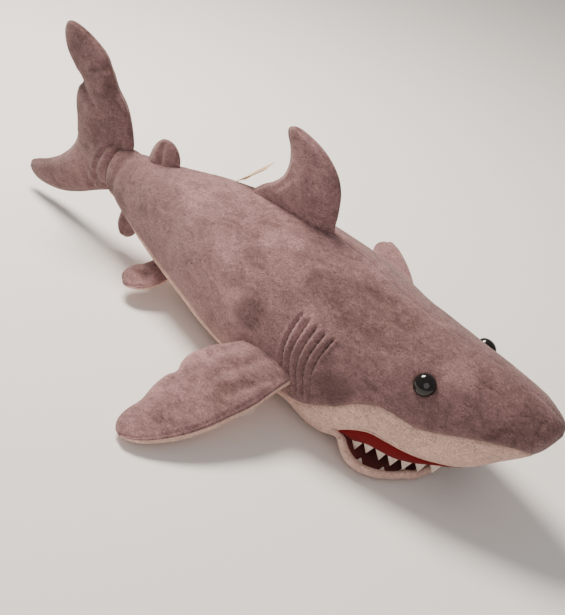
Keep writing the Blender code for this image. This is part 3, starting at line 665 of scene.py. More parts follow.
def make_finishes(colours):
    # The first three darken the flank where the pile is brushed flat; the last three lighten the top of the
    # back and of the head as painted highlights.
    pile_and_highlight_marks = (
        ((0.033, -0.068, 0.075), 0.017, 0.55, 0.42), ((0.130, -0.070, 0.060), 0.019, 0.6, 0.42),
        ((0.084, -0.040, 0.120), 0.022, 0.3, 0.42), ((0.013, -0.035, 0.125), 0.010, 0.7, 1.9),
        ((0.034, -0.030, 0.132), 0.009, 0.6, 1.9), ((0.205, -0.030, 0.112), 0.016, 0.4, 1.8),
    )
    # Painted light and shade along x, in metres: brightest mid-back, darker at the tail and at the snout.
    painted_light_tones = ((-0.31, 0.74), (-0.20, 0.86), (-0.12, 1.08), (0.0, 1.26), (0.09, 1.02), (0.17, 0.88),
        (0.24, 0.80), (0.29, 0.80))
    FINISHES["grey_plush"] = plush("grey brushed plush", colours.grey, 1.0, 0.0015, painted_light_tones, pile_and_highlight_marks)
    FINISHES["cream_plush"] = plush("cream plush", colours.cream, 0.18, 0.0013)
    FINISHES["red_felt"] = felt("red gum felt", colours.gum, 0.06)
    FINISHES["dark_red_lining"] = woven("dark red mouth lining", colours.lining, 0.0011)
    FINISHES["cream_felt"] = felt("cream tooth felt", colours.tooth, 0.2)
    FINISHES["black_plastic"] = glossy("black eye plastic", (0.006, 0.0045, 0.004), 0.07)
    FINISHES["washer_plastic"] = glossy("white washer plastic", (0.72, 0.72, 0.70), 0.4)
    FINISHES["thread"] = felt("dark gill thread", (0.085, 0.05, 0.045), 0.1)
    FINISHES["ribbon"] = woven("label ribbon weave", colours.ribbon, 0.0007, 0.55)
    FINISHES["polyester_filling"] = fibre("loose white filling", (0.82, 0.81, 0.78))


# Operators.

class Step(bpy.types.Operator):
    bl_options = {"REGISTER", "UNDO"}

    def execute(self, context):
        self.make(context.scene.shark_sizes, context.scene.shark_colours)
        return {"FINISHED"}


class SHARK_OT_finishes(Step):
    """Make the plush, felt, plastic, thread and ribbon finishes, and give the filling its own"""

    bl_idname = "shark.finishes"
    bl_label = "Finishes"

    def make(self, sizes, colours):
        make_finishes(colours)
        inner = ("polyester_filling", "washer_plastic", "black_plastic", "thread")
        slots = {entry["node"]: entry["material_slot"] for entry in frame["record"]["subparts"]}
        for name, node in frame["nodes"].items():
            if slots[name] in inner:
                node.data.materials.clear()
                node.data.materials.append(FINISHES[slots[name]])


class SHARK_OT_back(Step):
    """Sew the grey back panels, with their gill tucks, eye dents and seams"""

    bl_idname = "shark.back"
    bl_label = "Back Panels"

    def make(self, sizes, colours):
        columns = 78
        for side, sign in SIDES:
            x = STATIONS[:, None]
            angle = seam_angle(STATIONS)[:, None] * np.linspace(0, 1, columns)[None, :]
            grid = mirrored(skin(x, angle), sign)
            depth = sizes.seam_depth / MM
            middle = edge_distance(grid, last=False)
            lower = edge_distance(grid, first=False)
            seams = seam_pull(middle, 0.3 * depth) + seam_pull(lower, depth)
            seams = seams * (1 - step(276, 284, x)) - 1.2 * bell(x - TAIL_ROOT_X, 2.0)
            away = grid - np.array([0, 0, 60]) * 1.0
            away[..., 0] = 0
            outer, inner = skin_panel(grid, away, seams, sizes)
            flat = sign * np.maximum(np.abs(outer[..., 1]), 0.0)
            outer[..., 1] = flat
            outer[:, 0, 1] = 0
            inner[:, 0, 1] = 0
            inner[..., 1] = sign * np.maximum(sign * inner[..., 1], 0)
            at_tip = STATIONS >= SNOUT_SEAM_X
            outer[at_tip, -1, 1] = 0
            inner[at_tip, -1, 1] = 0
            tip = STATIONS > 282
            inner[tip] = np.array([280, 0, 91]) * 0.5 + outer[tip] * 0.5
            inner[..., 1] = sign * np.maximum(sign * inner[..., 1], 0)
            panel = shell("back_panel_" + side, outer, inner)
            finish_piece(panel, FINISHES["grey_plush"], "grey_plush", "back_cover_" + side, fill=0.85)
            over_tail(panel)


class SHARK_OT_belly(Step):
    """Sew the cream belly, cheeks and underside of the snout, folded in along the upper lip"""

    bl_idname = "shark.belly"
    bl_label = "Belly and Cheeks"

    def make(self, sizes, colours):
        depth = sizes.seam_depth / MM
        stations = STATIONS[STATIONS < SNOUT_SEAM_X]
        parts = []
        for _, sign in SIDES:
            x = stations[:, None]
            start = seam_angle(stations)[:, None]
            lip = lip_angle(np.maximum(stations, THROAT_X))[:, None]
            lip = np.where(x < THROAT_X, angle_at(x,
                LIP_CORNER_Z + 0 * x + 0.06 * np.minimum(THROAT_X - x, 120)), lip)
            lip = np.maximum(lip, start + 0.12)
            cheek = skin(x, start + (lip - start) * np.linspace(0, 1, 30)[None, :])
            under = skin(x, lip + (math.pi - lip) * np.linspace(0, 1, 34)[None, :])
            fold = self.folded(x, cheek[:, -1], under)
            grid = mirrored(np.concatenate([cheek, fold[:, 1:]], 1), sign)
            away = grid - np.array([0, 0, 60.0])
            away[..., 0] = 0
            seams = seam_pull(edge_distance(grid, last=False), depth) - 1.2 * bell(x - TAIL_ROOT_X, 2.0)
            parts.append((grid, seams, away))
        pieces = []
        for grid, seams, away in parts:
            outer, inner = skin_panel(grid, away, seams, sizes)
            sign = np.sign(grid[len(grid) // 2, 5, 1])
            for layer in (outer, inner):
                layer[..., 1] = sign * np.maximum(sign * layer[..., 1], 0)
                whole = (stations <= THROAT_X) | (stations > MOUTH_FRONT_X)
                layer[whole, -1, 1] = 0
            pieces.append(shell("belly_half", outer, inner))
        pick(pieces[0])
        pieces[1].select_set(True)
        bpy.ops.object.join()
        panel = bpy.context.object
        panel.name = panel.data.name = "belly_and_cheek_panel"
        tidy(panel, recalculate=False, merge=0.00004)
        finish_piece(panel, FINISHES["cream_plush"], "cream_plush", "belly_cover", "muzzle_cover",
            fill=0.85)
        over_tail(panel)

    def folded(self, x, lip_point, under):
        """The skin past the lip: round underneath behind the throat, and turned in above the gum."""
        share = np.linspace(0, 1, under.shape[1])[None, :, None]
        edge = lip_point[:, None, :]
        width = np.abs(edge[..., 1:2])
        reach = np.maximum(width - 7, 0)
        turn = np.clip(share * 3, 0, 1) * math.pi
        ledge = np.concatenate([
            edge[..., :1] + 0 * share,
            -(width * (1 - share) + reach * share),
            edge[..., 2:] + 0.8 * share - 1.3 * np.sin(turn),
        ], -1)
        over_mouth = (step(THROAT_X, THROAT_X + 1.2, x) * (1 - step(236, 241, x)))[..., None]
        return under * (1 - over_mouth) + ledge * over_mouth


class SHARK_OT_jaw(Step):
    """Sew the cream lower jaw with its rolled rim and its dark lining"""

    bl_idname = "shark.jaw"
    bl_label = "Lower Jaw"

    def make(self, sizes, colours):
        rim, spine, low = jaw_outline()
        slope = np.linspace(0, math.pi / 2, 34)
        power = 2 / 2.6
        scale = np.cos(slope)[None, :, None] ** power
        drop = np.sin(slope)[None, :] ** power
        outer = spine[:, None] + (rim[:, None] - spine[:, None]) * scale
        outer[..., 2] = rim[:, None, 2] - (rim[:, 2] - low)[:, None] * drop
        throat = (1 - step(THROAT_X, 152, rim[:, 0]))[:, None, None]
        sign = np.sign(rim[:, 1])[:, None]
        start = float(angle_at(np.array(THROAT_X), np.array(LIP_CORNER_Z)))
        ring = skin(np.full((len(rim), 1), float(THROAT_X)),
            start + (math.pi - start) * (slope / slope[-1])[None, :])
        ring[..., 1] *= -sign
        ring[..., 0] = rim[:, None, 0]
        outer = outer * (1 - throat) + ring * throat
        inward = spine - rim
        inward[:, 2] = 0
        inward /= np.maximum(np.linalg.norm(inward, axis=1, keepdims=True), 1e-6)
        radius = JAW_RIM_RADIUS
        inner_edge = rim + inward * (2 * radius)
        roll = self.rim_roll(rim, inward, radius)
        grid = np.concatenate([roll, outer[:, 1:]], 1)
        grid[..., 2] = np.maximum(grid[..., 2], 0.9)
        away = grid - (spine[:, None] + np.array([0, 0, 14.0]))
        normal = normals_of(grid, away)
        soft = 0.6 * (0.7 * lumps(grid, 30, 5) + 0.4 * lumps(grid, 10, 6))
        outer_grid = grid + normal * soft[..., None]
        outer_grid[..., 2] = np.maximum(outer_grid[..., 2], 0.5)
        outer_grid[:, -1, 1] = 0
        inner_grid = outer_grid - normal * 1.4
        inner_grid[:, -1, 1] = 0
        panel = shell("jaw_panel", outer_grid, inner_grid)
        finish_piece(panel, FINISHES["cream_plush"], "cream_plush", "jaw_cover", fill=0.7)
        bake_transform(panel)
        self.lining(rim, spine, inner_edge)

    def rim_roll(self, rim, inward, radius):
        """Points over the rim, from inside the mouth round to the outer skin."""
        points = []
        for turn in np.linspace(math.radians(-40), math.radians(180), 12):
            point = rim + inward * (radius + radius * math.cos(turn))
            point[:, 2] = rim[:, 2] + radius * math.sin(turn)
            points.append(point)
        return np.stack(points, 1)

    def lining(self, rim, spine, edge):
        """The dark cloth of the jaw's inside, dished towards its middle."""
        inside = rim[:, 0] > 147
        rim, spine, edge = rim[inside], spine[inside], edge[inside]
        share = np.linspace(0, 1, 20)[None, :, None]
        upper = edge[:, None] * (1 - share) + spine[:, None] * share
        dish = np.sin(np.clip(share[..., 0], 0, 1) * math.pi / 2)
        upper[..., 2] = rim[:, None, 2] - 0.2 - 2.4 * dish + 0.25 * lumps(upper, 9, 7)
        upper[:, -1, 1] = 0
        lower = upper - np.array([0, 0, 1.3])
        piece = shell("jaw_lining_cloth", upper, lower)
        finish_piece(piece, FINISHES["dark_red_lining"], "dark_red_lining", "jaw_lining")
        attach(piece, "lower_jaw")


def jaw_outline():
    """(rim, spine, low): the jaw's rim from the right corner round to the left one, the spine point and the
    bottom height that belong to each rim point."""
    x = np.concatenate([np.arange(THROAT_X - 1.0, 200, 1.6),
        200 + 10.5 * np.sin(np.linspace(0, math.pi / 2, 22))])
    half, top, low = np.moveaxis(curve(JAW, x), -1, 0)
    front = np.clip((x - 200) / 10.5, 0, 1)
    round_half = curve(JAW, np.array([200.0]))[0, 0] * np.sqrt(np.maximum(1 - front ** 2, 0))
    half = np.where(x > 200, round_half, half)
    neck = 1 - step(THROAT_X, 150, x)
    half = half * (1 - neck) + THROAT_HALF * neck
    top = top * (1 - neck) + LIP_CORNER_Z * neck
    right = np.stack([x, -half, top], -1)
    left = np.stack([x, half, top], -1)[::-1][1:]
    rim = np.concatenate([right, left])
    low = np.concatenate([low, low[::-1][1:]])
    spine = rim.copy()
    spine[:, 0] = np.minimum(rim[:, 0], 178 + 0 * rim[:, 0])
    spine[:, 1] = 0
    low = np.where(rim[:, 0] > 198, 1.8, low)
    return rim, spine, low


def lip_line(count):
    """(points, outward): points along the upper lip's edge and the level direction out of the mouth at each.

    They run from the right corner round the snout to the left one.
    """
    x = THROAT_X + 3 + (MOUTH_FRONT_X - THROAT_X - 3.2) * np.sin(np.linspace(0, math.pi / 2, 90))
    right = skin(x, lip_angle(x))
    points = np.concatenate([right, (right * np.array([1, -1, 1]))[::-1]])
    travelled = np.concatenate([[0], np.cumsum(np.linalg.norm(np.diff(points, axis=0), axis=1))])
    at = np.linspace(0, travelled[-1], count)
    points = np.stack([np.interp(at, travelled, points[:, c]) for c in range(3)], -1)
    tangent = np.gradient(points, axis=0)
    outward = np.stack([tangent[:, 1], -tangent[:, 0], 0 * at], -1)
    outward /= np.linalg.norm(outward, axis=1, keepdims=True)
    return points, outward


def gum_height(share):
    """Height of the gum band along the lip, for shares from 0 at one corner to 1 at the other."""
    side = np.abs(2 * share - 1)
    return 2.2 + 11.4 * step(0.20, 0.66, side) * (1 - 0.84 * step(0.84, 1.0, side))


class SHARK_OT_mouth(Step):
    """Line the roof and the back of the mouth, and sew in the red gum band"""

    bl_idname = "shark.mouth"
    bl_label = "Mouth Lining and Gum"

    def make(self, sizes, colours):
        count = 90
        points, outward = lip_line(count * 2)
        right, left = points[:count], points[count:][::-1]
        share = np.linspace(0, 1, 45)[None, :, None]
        inset = 2.4 * outward[:count, None], 2.4 * outward[count:][::-1][:, None]
        grid = (right[:, None] - inset[0]) * (1 - share) + (left[:, None] - inset[1]) * share
        vault = np.sin(share[..., 0] * math.pi)
        grid[..., 2] += 0.9 + 4.5 * vault * step(145, 165, grid[..., 0]) + 0.5 * lumps(grid, 12, 8)
        back = np.repeat(grid[:1], 9, 0)
        drop = np.linspace(1, 0, 9)[:, None]
        back[..., 2] = grid[0, :, 2] * (1 - drop) + 8.5 * drop
        back[..., 0] += 3.5 * np.sin(drop * math.pi / 2)
        back[..., 1] *= 1 - 0.14 * drop
        grid = np.concatenate([back[:-1], grid])
        normal = normals_of(grid, np.array([0, 0, 1.0]) + 0 * grid)
        roof = shell("mouth_lining_cloth", grid, grid + 1.2 * normal)
        finish_piece(roof, FINISHES["dark_red_lining"], "dark_red_lining", "palate_lining")
        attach(roof, "body")
        self.gum()

    def gum(self):
        count = 170
        points, outward = lip_line(count)
        height = gum_height(np.linspace(0, 1, count))[:, None]
        profile = np.linspace(0, 2 * math.pi, 29)[:-1][None, :]
        down = -0.8 + (height + 0.8) * (1 - np.cos(profile)) / 2
        across = 1.0 * np.sin(profile) + 1.0 * np.sin(np.clip(down / height, 0,
            1) * math.pi) - 1.6 - 0.16 * down
        grid = points[:, None] + outward[:, None] * across[..., None]
        grid[..., 2] -= down
        grid += 0.25 * lumps(grid, 7, 9)[..., None]
        item = tube("gum_band", grid)
        finish_piece(item, FINISHES["red_felt"], "red_felt", "upper_gum")
        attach(item, "body")


def tube(name, rings):
    """A closed piece through rings of points."""
    count, width = rings.shape[:2]
    faces = []
    for i in range(count - 1):
        for j in range(width):
            k = (j + 1) % width
            faces.append([i * width + j, (i + 1) * width + j, (i + 1) * width + k, i * width + k])
    faces.append(list(range(width))[::-1])
    faces.append([(count - 1) * width + j for j in range(width)])
    return tidy(mesh_object(name, rings.reshape(-1, 3), faces))


def one_tooth(width, height, thickness):
    """A felt tooth that hangs from z = 0: a block drawn to a point, with its edges rounded."""
    deselect()
    bpy.ops.mesh.primitive_cube_add(size=1, location=(0, 0, 0))
    tooth = bpy.context.object
    tooth.scale = (width * MM, thickness * MM, height * MM)
    bpy.ops.object.transform_apply(location=False, rotation=False, scale=True)
    bpy.ops.object.mode_set(mode="EDIT")
    bpy.ops.mesh.select_all(action="SELECT")
    bpy.ops.transform.translate(value=(0, 0, -height * MM / 2))
    shape = bmesh.from_edit_mesh(tooth.data)
    for vert in shape.verts:
        vert.select = vert.co.z < -height * MM / 2
    shape.select_flush_mode()
    bmesh.update_edit_mesh(tooth.data)
    bpy.ops.transform.resize(value=(0.07, 0.75, 1), center_override=(0, 0, -height * MM))
    bpy.ops.mesh.select_all(action="SELECT")
    bpy.ops.mesh.bevel(offset=0.42 * MM, segments=2, affect="EDGES")
    bpy.ops.mesh.subdivide(number_cuts=1)
    bpy.ops.object.mode_set(mode="OBJECT")
    tooth.data.shade_smooth()
    return tooth


def place_copies(name, model, places):
    """Copies of a modelled piece at each place, a matrix in metres, joined into one piece."""
    copies = []
    for place in places:
        copy = model.copy()
        copy.data = model.data.copy()
        copy.matrix_world = place
        bpy.context.scene.collection.objects.link(copy)
        copies.append(copy)
    bpy.data.objects.remove(model)
    deselect()
    for copy in copies:
        copy.select_set(True)
    bpy.context.view_layer.objects.active = copies[0]
    bpy.ops.object.join()
    item = bpy.context.object
    bpy.ops.object.transform_apply(location=True, rotation=True, scale=True)
    item.name = item.data.name = name
    return item


class SHARK_OT_teeth(Step):
    """Cut the felt teeth and set them along the gum and inside the jaw's rim"""

    bl_idname = "shark.teeth"
    bl_label = "Teeth"

    def make(self, sizes, colours):
        places = []
        count = 401
        points, outward = lip_line(count)
        steps = np.linalg.norm(np.diff(points, axis=0), axis=1).sum()
        for k in range(UPPER_TOOTH_COUNT):
            from_corner = FIRST_TOOTH + TOOTH_PITCH * min(k, UPPER_TOOTH_COUNT - 1 - k)
            share = from_corner / steps if k < UPPER_TOOTH_COUNT / 2 else 1 - from_corner / steps
            here = int(round(share * (count - 1)))
            out = Vector(outward[here])
            tangent = Vector((-out.y, out.x, 0))
            drop = float(gum_height(share)) - 1.6
            place = Vector(points[here]) - out * (2.2 + 0.16 * drop) - Vector((0, 0, drop))
            lean = Vector((0, 0, 1)) + out * 0.12 + tangent * 0.05 * math.sin(k * 2.1)
            places.append(basis(tangent, lean, place))
        height = sizes.tooth_height / MM
        teeth = place_copies("upper_felt_teeth", one_tooth(9.6, height + 1.6, 1.9), places)
        finish_piece(teeth, FINISHES["cream_felt"], "cream_felt", "upper_teeth")
        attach(teeth, "body")
        rim, spine, _ = jaw_outline()
        keep = rim[:, 0] > 158
        rim, spine = rim[keep], spine[keep]
        steps = np.linalg.norm(np.diff(rim, axis=0), axis=1)
        travelled = np.concatenate([[0], np.cumsum(steps)])
        places = []
        for k in range(LOWER_TOOTH_COUNT):
            at = travelled[-1] * (k + 0.5) / LOWER_TOOTH_COUNT
            point = np.array([np.interp(at, travelled, rim[:, c]) for c in range(3)])
            ahead = np.array([np.interp(at + 1, travelled, rim[:, c]) for c in range(3)])
            centre = np.array([np.interp(at, travelled, spine[:, c]) for c in range(3)])
            inward = Vector(centre - point)
            inward.z = 0
            inward.normalize()
            tangent = Vector(ahead - point)
            tangent.z = 0
            tangent.normalize()
            place = Vector(point) + inward * LOWER_TOOTH_INSET
            up = Vector((0, 0, -1)) - inward * 0.22
            places.append(basis(tangent, up, (place.x, place.y, point[2] - 1.2)))
        teeth = place_copies("lower_felt_teeth", one_tooth(7.8, 5.6, 1.7), places)
        finish_piece(teeth, FINISHES["cream_felt"], "cream_felt", "lower_teeth")
        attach(teeth, "lower_jaw")


def basis(x_axis, z_axis, place):
    """A matrix with this z axis, its x axis as near x_axis as that allows, and its place in millimetres."""
    z = Vector(z_axis).normalized()
    x = Vector(x_axis)
    x = (x - z * x.dot(z)).normalized()
    y = z.cross(x)
    matrix = Matrix((x, y, z)).transposed().to_4x4()
    matrix.translation = Vector(place) * MM
    return matrix


def eye_basis(sign):
    """The eye's place on the skin, and the direction that it looks in."""
    x = np.array([EYE_X, EYE_X, EYE_X + 2.0])
    a = float(angle_at(np.array(float(EYE_X)), np.array(float(EYE_Z))))
    here, across, ahead = skin(x, np.array([a, a + 0.05, a]))
    outward = Vector(np.cross(across - here, ahead - here)).normalized()
    if outward.y > 0:
        outward = -outward
    place = Vector(here)
    if sign > 0:
        outward.y, place.y = -outward.y, -place.y
    return place, outward


class SHARK_OT_eyes(Step):
    """Turn the glossy safety eyes with their flange and shank"""

    bl_idname = "shark.eyes"
    bl_label = "Eyes"

    def make(self, sizes, colours):
        radius = sizes.eye_diameter / 2
        for side, sign in SIDES:
            place, outward = eye_basis(sign)
            deselect()
            bpy.ops.mesh.primitive_uv_sphere_add(segments=56, ring_count=32, radius=radius)
            eye = bpy.context.object
            bpy.ops.object.mode_set(mode="EDIT")
            bpy.ops.mesh.select_all(action="SELECT")
            bpy.ops.mesh.bisect(plane_co=(0, 0, 0), plane_no=(0, 0, 1), use_fill=False, clear_inner=True)
            bpy.ops.mesh.select_all(action="SELECT")
            bpy.ops.transform.resize(value=(1, 1, 0.74))
            bpy.ops.mesh.select_all(action="DESELECT")
            shape = bmesh.from_edit_mesh(eye.data)
            for edge in shape.edges:
                edge.select = edge.is_boundary
            shape.select_flush_mode()
            bmesh.update_edit_mesh(eye.data)
            bpy.ops.mesh.extrude_edges_move(TRANSFORM_OT_translate={"value": (0, 0, -1.1 * MM)})
            bpy.ops.mesh.extrude_edges_move(TRANSFORM_OT_translate={"value": (0, 0, 0)})
            bpy.ops.transform.resize(value=(2.0 / 9, 2.0 / 9, 1))
            bpy.ops.mesh.extrude_edges_move(TRANSFORM_OT_translate={"value": (0, 0, -11.5 * MM)})
            bpy.ops.mesh.edge_face_add()
            bpy.ops.mesh.select_all(action="SELECT")
            bpy.ops.mesh.normals_make_consistent(inside=False)
            bpy.ops.object.mode_set(mode="OBJECT")
            turn = outward.to_track_quat("Z", "Y").to_matrix().to_4x4()
            turn.translation = (place + outward * 0.4) * MM
            eye.data.transform(turn)
            eye.data.shade_smooth()
            eye.data.set_sharp_from_angle(angle=math.radians(40))
            eye.name = eye.data.name = "glossy_eye_" + side
            finish_piece(eye, FINISHES["black_plastic"], "black_plastic", "eye_" + side)
            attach(eye, "body")


class SHARK_OT_gills(Step):
    """Stitch the thread of the ten gill tucks"""

    bl_idname = "shark.gills"
    bl_label = "Gill Stitches"

    def make(self, sizes, colours):
        for side, sign in SIDES:
            for number in range(GILL_COUNT):
                self.tuck(side, sign, number, sizes)

    def tuck(self, side, sign, number, sizes):
        t = number / (GILL_COUNT - 1)
        top_x = GILL_TOP_X[0] + (GILL_TOP_X[1] - GILL_TOP_X[0]) * t
        top_z = GILL_TOP_Z[0] + (GILL_TOP_Z[1] - GILL_TOP_Z[0]) * t
        bottom_x = GILL_BOTTOM_X[0] + (GILL_BOTTOM_X[1] - GILL_BOTTOM_X[0]) * t
        count = sizes.stitch_count
        s = (np.arange(count * 4 + 1)) / (count * 4)
        x = top_x + (bottom_x - top_x) * s - GILL_BOW * np.sin(math.pi * s)
        z = top_z + (GILL_BOTTOM_Z - top_z) * s
        line = mirrored(skin(x, angle_at(x, z)), sign)
        outward = line - np.array([0, 0, 60.0])
        outward[:, 0] = 0
        outward /= np.linalg.norm(outward, axis=1, keepdims=True)
        places = []
        deselect()
        bpy.ops.mesh.primitive_cylinder_add(vertices=8, radius=0.36 * MM, depth=sizes.stitch_length)
        stitch = bpy.context.object
        bpy.ops.object.mode_set(mode="EDIT")
        bpy.ops.mesh.select_all(action="SELECT")
        bpy.ops.mesh.bevel(offset=0.16 * MM, segments=2, affect="EDGES")
        bpy.ops.object.mode_set(mode="OBJECT")
        stitch.data.shade_smooth()
        for k in range(count):
            middle, before, after = line[k * 4 + 2], line[k * 4 + 1], line[k * 4 + 3]
            out = Vector(outward[k * 4 + 2])
            sunk = Vector(middle) - out * 1.25
            places.append(basis(out, Vector(after - before), sunk))
        item = place_copies(f"gill_stitches_{side}_{number + 1}", stitch, places)
        finish_piece(item, FINISHES["thread"], "thread", f"gill_thread_{side}_{number + 1}")
        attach(item, "body")


# Fins.

def fin_grid(rows, count, columns, lift_of, place, side, sizes, seed, creases=(), rolled=0.0):
    """(outer, inner) grids of one face of a fin, from inside the body to the tip."""
    shape = along(rows, count)
    v = (1 - np.cos(np.linspace(0, math.pi, columns))) / 2
    front, rear = shape[:, None, 0:2], shape[:, None, 2:4]
    flat = front + (rear - front) * v[None, :, None]
    chord = np.linalg.norm(shape[:, 0:2] - shape[:, 2:4], axis=1)[:, None]
    from_edge = np.minimum(v, 1 - v)[None] * chord
    lift = shape[:, 4:5] * lift_of(v)[None]
    lift = lift - 0.8 * bell(from_edge - 2.2, 1.6) * step(0, 3, chord)
    lift = np.maximum(lift, 0)
    stack = np.concatenate([flat, side * lift[..., None]], -1)
    soft = 0.9 * lumps(stack, 26, seed) + 0.45 * lumps(stack, 10, seed + 1)
    for (ax, ab), (bx, bb), depth, width in creases:
        run = np.array([bx - ax, bb - ab], float)
        share = np.clip(((flat - np.array([ax, ab])) @ run) / (run @ run), 0, 1)
        off = np.linalg.norm(flat - np.array([ax, ab]) - share[..., None] * run, axis=-1)
        fade = np.sin(np.clip(share, 0.08, 1) * math.pi) ** 0.5
        soft = soft - depth * fade * (bell(off, width) - 0.45 * bell(off - 2.2 * width, 1.4 * width))
    shallow = step(0, 5, lift)
    outer_lift = lift + soft * shallow
    inner_lift = np.maximum(outer_lift - 2.2, 0.12 * outer_lift)
    outer_lift = np.where(lift <= 1e-6, 0, outer_lift)
    inner_lift = np.where(lift <= 1e-6, 0, inner_lift)
    a, b = flat[..., 0], flat[..., 1]
    raised = rolled * (1 - v[None]) ** 8 * step(2, 14, chord)
    bulge = rolled * np.sin(np.clip(v[None] / 0.16, 0, 1) * math.pi) * step(2, 14, chord) * (side < 0)
    return place(a + bulge, b, side * outer_lift + raised), place(a + bulge, b, side * inner_lift + raised)


def pillow(v):
    return np.sqrt(np.clip(4 * v * (1 - v), 0, 1))


def plump(v):
    """Fuller towards the leading edge."""
    return np.sqrt(np.clip(4 * v * (1 - v), 0, 1)) * (1.08 - 0.22 * v)


def upright(a, b, n):
    return np.stack([a, n, b], -1)


def sideways(sign, root, droop, bend=(0, 0)):
    """A fin that stands out of the body's side. bend is how far its tip leans back and up."""
    y, z = root

    def place(a, b, n):
        out = b * math.cos(droop) + n * math.sin(droop)
        share = (np.maximum(b, 0) / PECTORAL_REACH) ** 2
        up = z - b * math.sin(droop) + n * math.cos(droop) + bend[1] * share
        return np.stack([a - bend[0] * share, sign * (y + out), up], -1)

    return place


def fin_face(name, rows, size, lift_of, place, side, sizes, seed, slot, nodes, hinge,
        creases=(), fill=0.7,
             rolled=0.0):
    outer, inner = fin_grid(rows, size[0], size[1], lift_of, place, side, sizes, seed, creases, rolled)
    item = shell(name, outer, inner)
    finish_piece(item, FINISHES[slot], slot, *nodes, fill=fill)
    start, end = hinge
    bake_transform(item)
    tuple(start)
    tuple(end)
    return item


class SHARK_OT_dorsal(Step):
    """Sew the dorsal fin"""

    bl_idname = "shark.dorsal"
    bl_label = "Dorsal Fin"

    def make(self, sizes, colours):
        hinge = (0.0, 0, 0.134), (0.0, 0, 0.153)
        for side, sign in SIDES:
            creases = (((30, 150), (12, 186), 1.1, 4.0), ((-14, 150), (2, 172), 1.0, 3.4),
                ((44, 146), (20, 152), 0.9, 3.0))
            fin_face(
                "dorsal_fin_panel_" + side, DORSAL, (84, 54), plump, upright, sign, sizes, 20 + sign,
                "grey_plush", ["dorsal_fin_cover_" + side], hinge, creases, 0.75)


class SHARK_OT_second_dorsal(Step):
    """Sew the small second dorsal fin"""

    bl_idname = "shark.second_dorsal"
    bl_label = "Second Dorsal Fin"

    def make(self, sizes, colours):
        hinge = (-0.1433, 0, 0.1075), (-0.1467, 0, 0.1215)
        for side, sign in SIDES:
            creases = (((-146, 104), (-147, 132), 1.5, 3.2),)
            fin_face(
                "second_dorsal_fin_panel_" + side, SECOND_DORSAL, (48, 36), pillow, upright, sign,
                sizes, 30 + sign,
                "grey_plush", ["second_dorsal_fin_layer_" + side],
                hinge, creases, 0.4)


class SHARK_OT_anal(Step):
    """Sew the small fin under the tail"""

    bl_idname = "shark.anal"
    bl_label = "Anal Fin"

    def make(self, sizes, colours):
        hinge = (-0.1698, 0, 0.0448), (-0.1745, 0, 0.0325)
        for side, sign in SIDES:
            creases = (((-170, 46), (-178, 18), 1.2, 3.0),)
            fin_face(
                "anal_fin_panel_" + side, ANAL, (44, 34), pillow, upright, sign, sizes, 40 + sign,
                "grey_plush", ["anal_fin_layer_" + side], hinge, creases, 0.4)


class SHARK_OT_pectorals(Step):
    """Sew the two long pectoral fins, grey above and cream below"""

    bl_idname = "shark.pectorals"
    bl_label = "Pectoral Fins"

    def make(self, sizes, colours):
        for side, sign in SIDES:
            place = sideways(sign, PECTORAL_ROOT, PECTORAL_DROOP[side], PECTORAL_BEND[side])
            hinge = (0.062, sign * 0.068, 0.046), (0.062, sign * 0.088, 0.041)
            top = (
                ((88, 0), (70, 46), 1.6, 4.2), ((66, -2), (50, 40), 1.5, 4.0),
                ((40, 0), (30, 34), 1.4, 4.0),
                ((20, 49), (52, 56), 1.5, 3.4), ((34, 70), (60, 84), 0.9, 4.0),
            )
            under = (((80, 0), (60, 40), 1.4, 4.2), ((40, 2), (36, 36), 1.2, 4.0))
            for name, up, slot, creases in (("top", 1, "grey_plush", top),
                ("under", -1, "cream_plush", under)):
                fin_face(
                    f"pectoral_fin_{name}_panel_{side}", PECTORAL, (110, 60), plump, place, up,
                    sizes, 50 + sign + 3 * up,
                    slot, [f"pectoral_fin_{name}_cover_{side}"], hinge, creases, 0.7, 3.2)


class SHARK_OT_pelvics(Step):
    """Sew the two small pelvic fins, grey above and cream below"""

    bl_idname = "shark.pelvics"
    bl_label = "Pelvic Fins"

    def make(self, sizes, colours):
        for side, sign in SIDES:
            place = sideways(sign, PELVIC_ROOT, PELVIC_DROOP)
            hinge = (-0.104, sign * 0.022, 0.0255), (-0.104, sign * 0.036, 0.022)
            creases = (((-90, 17), (-124, 14), 2.2, 3.6), ((-100, 2), (-106, 30), 0.8, 3.6))
            for name, up, slot in (("top", 1, "grey_plush"), ("under", -1, "cream_plush")):
                fin_face(
                    f"pelvic_fin_{name}_panel_{side}", PELVIC, (46, 36), pillow, place, up, sizes,
                    60 + sign + 3 * up,
                    slot, [f"pelvic_fin_{name}_layer_{side}"], hinge,
                    creases if up > 0 else (), 0.4, 2.0)


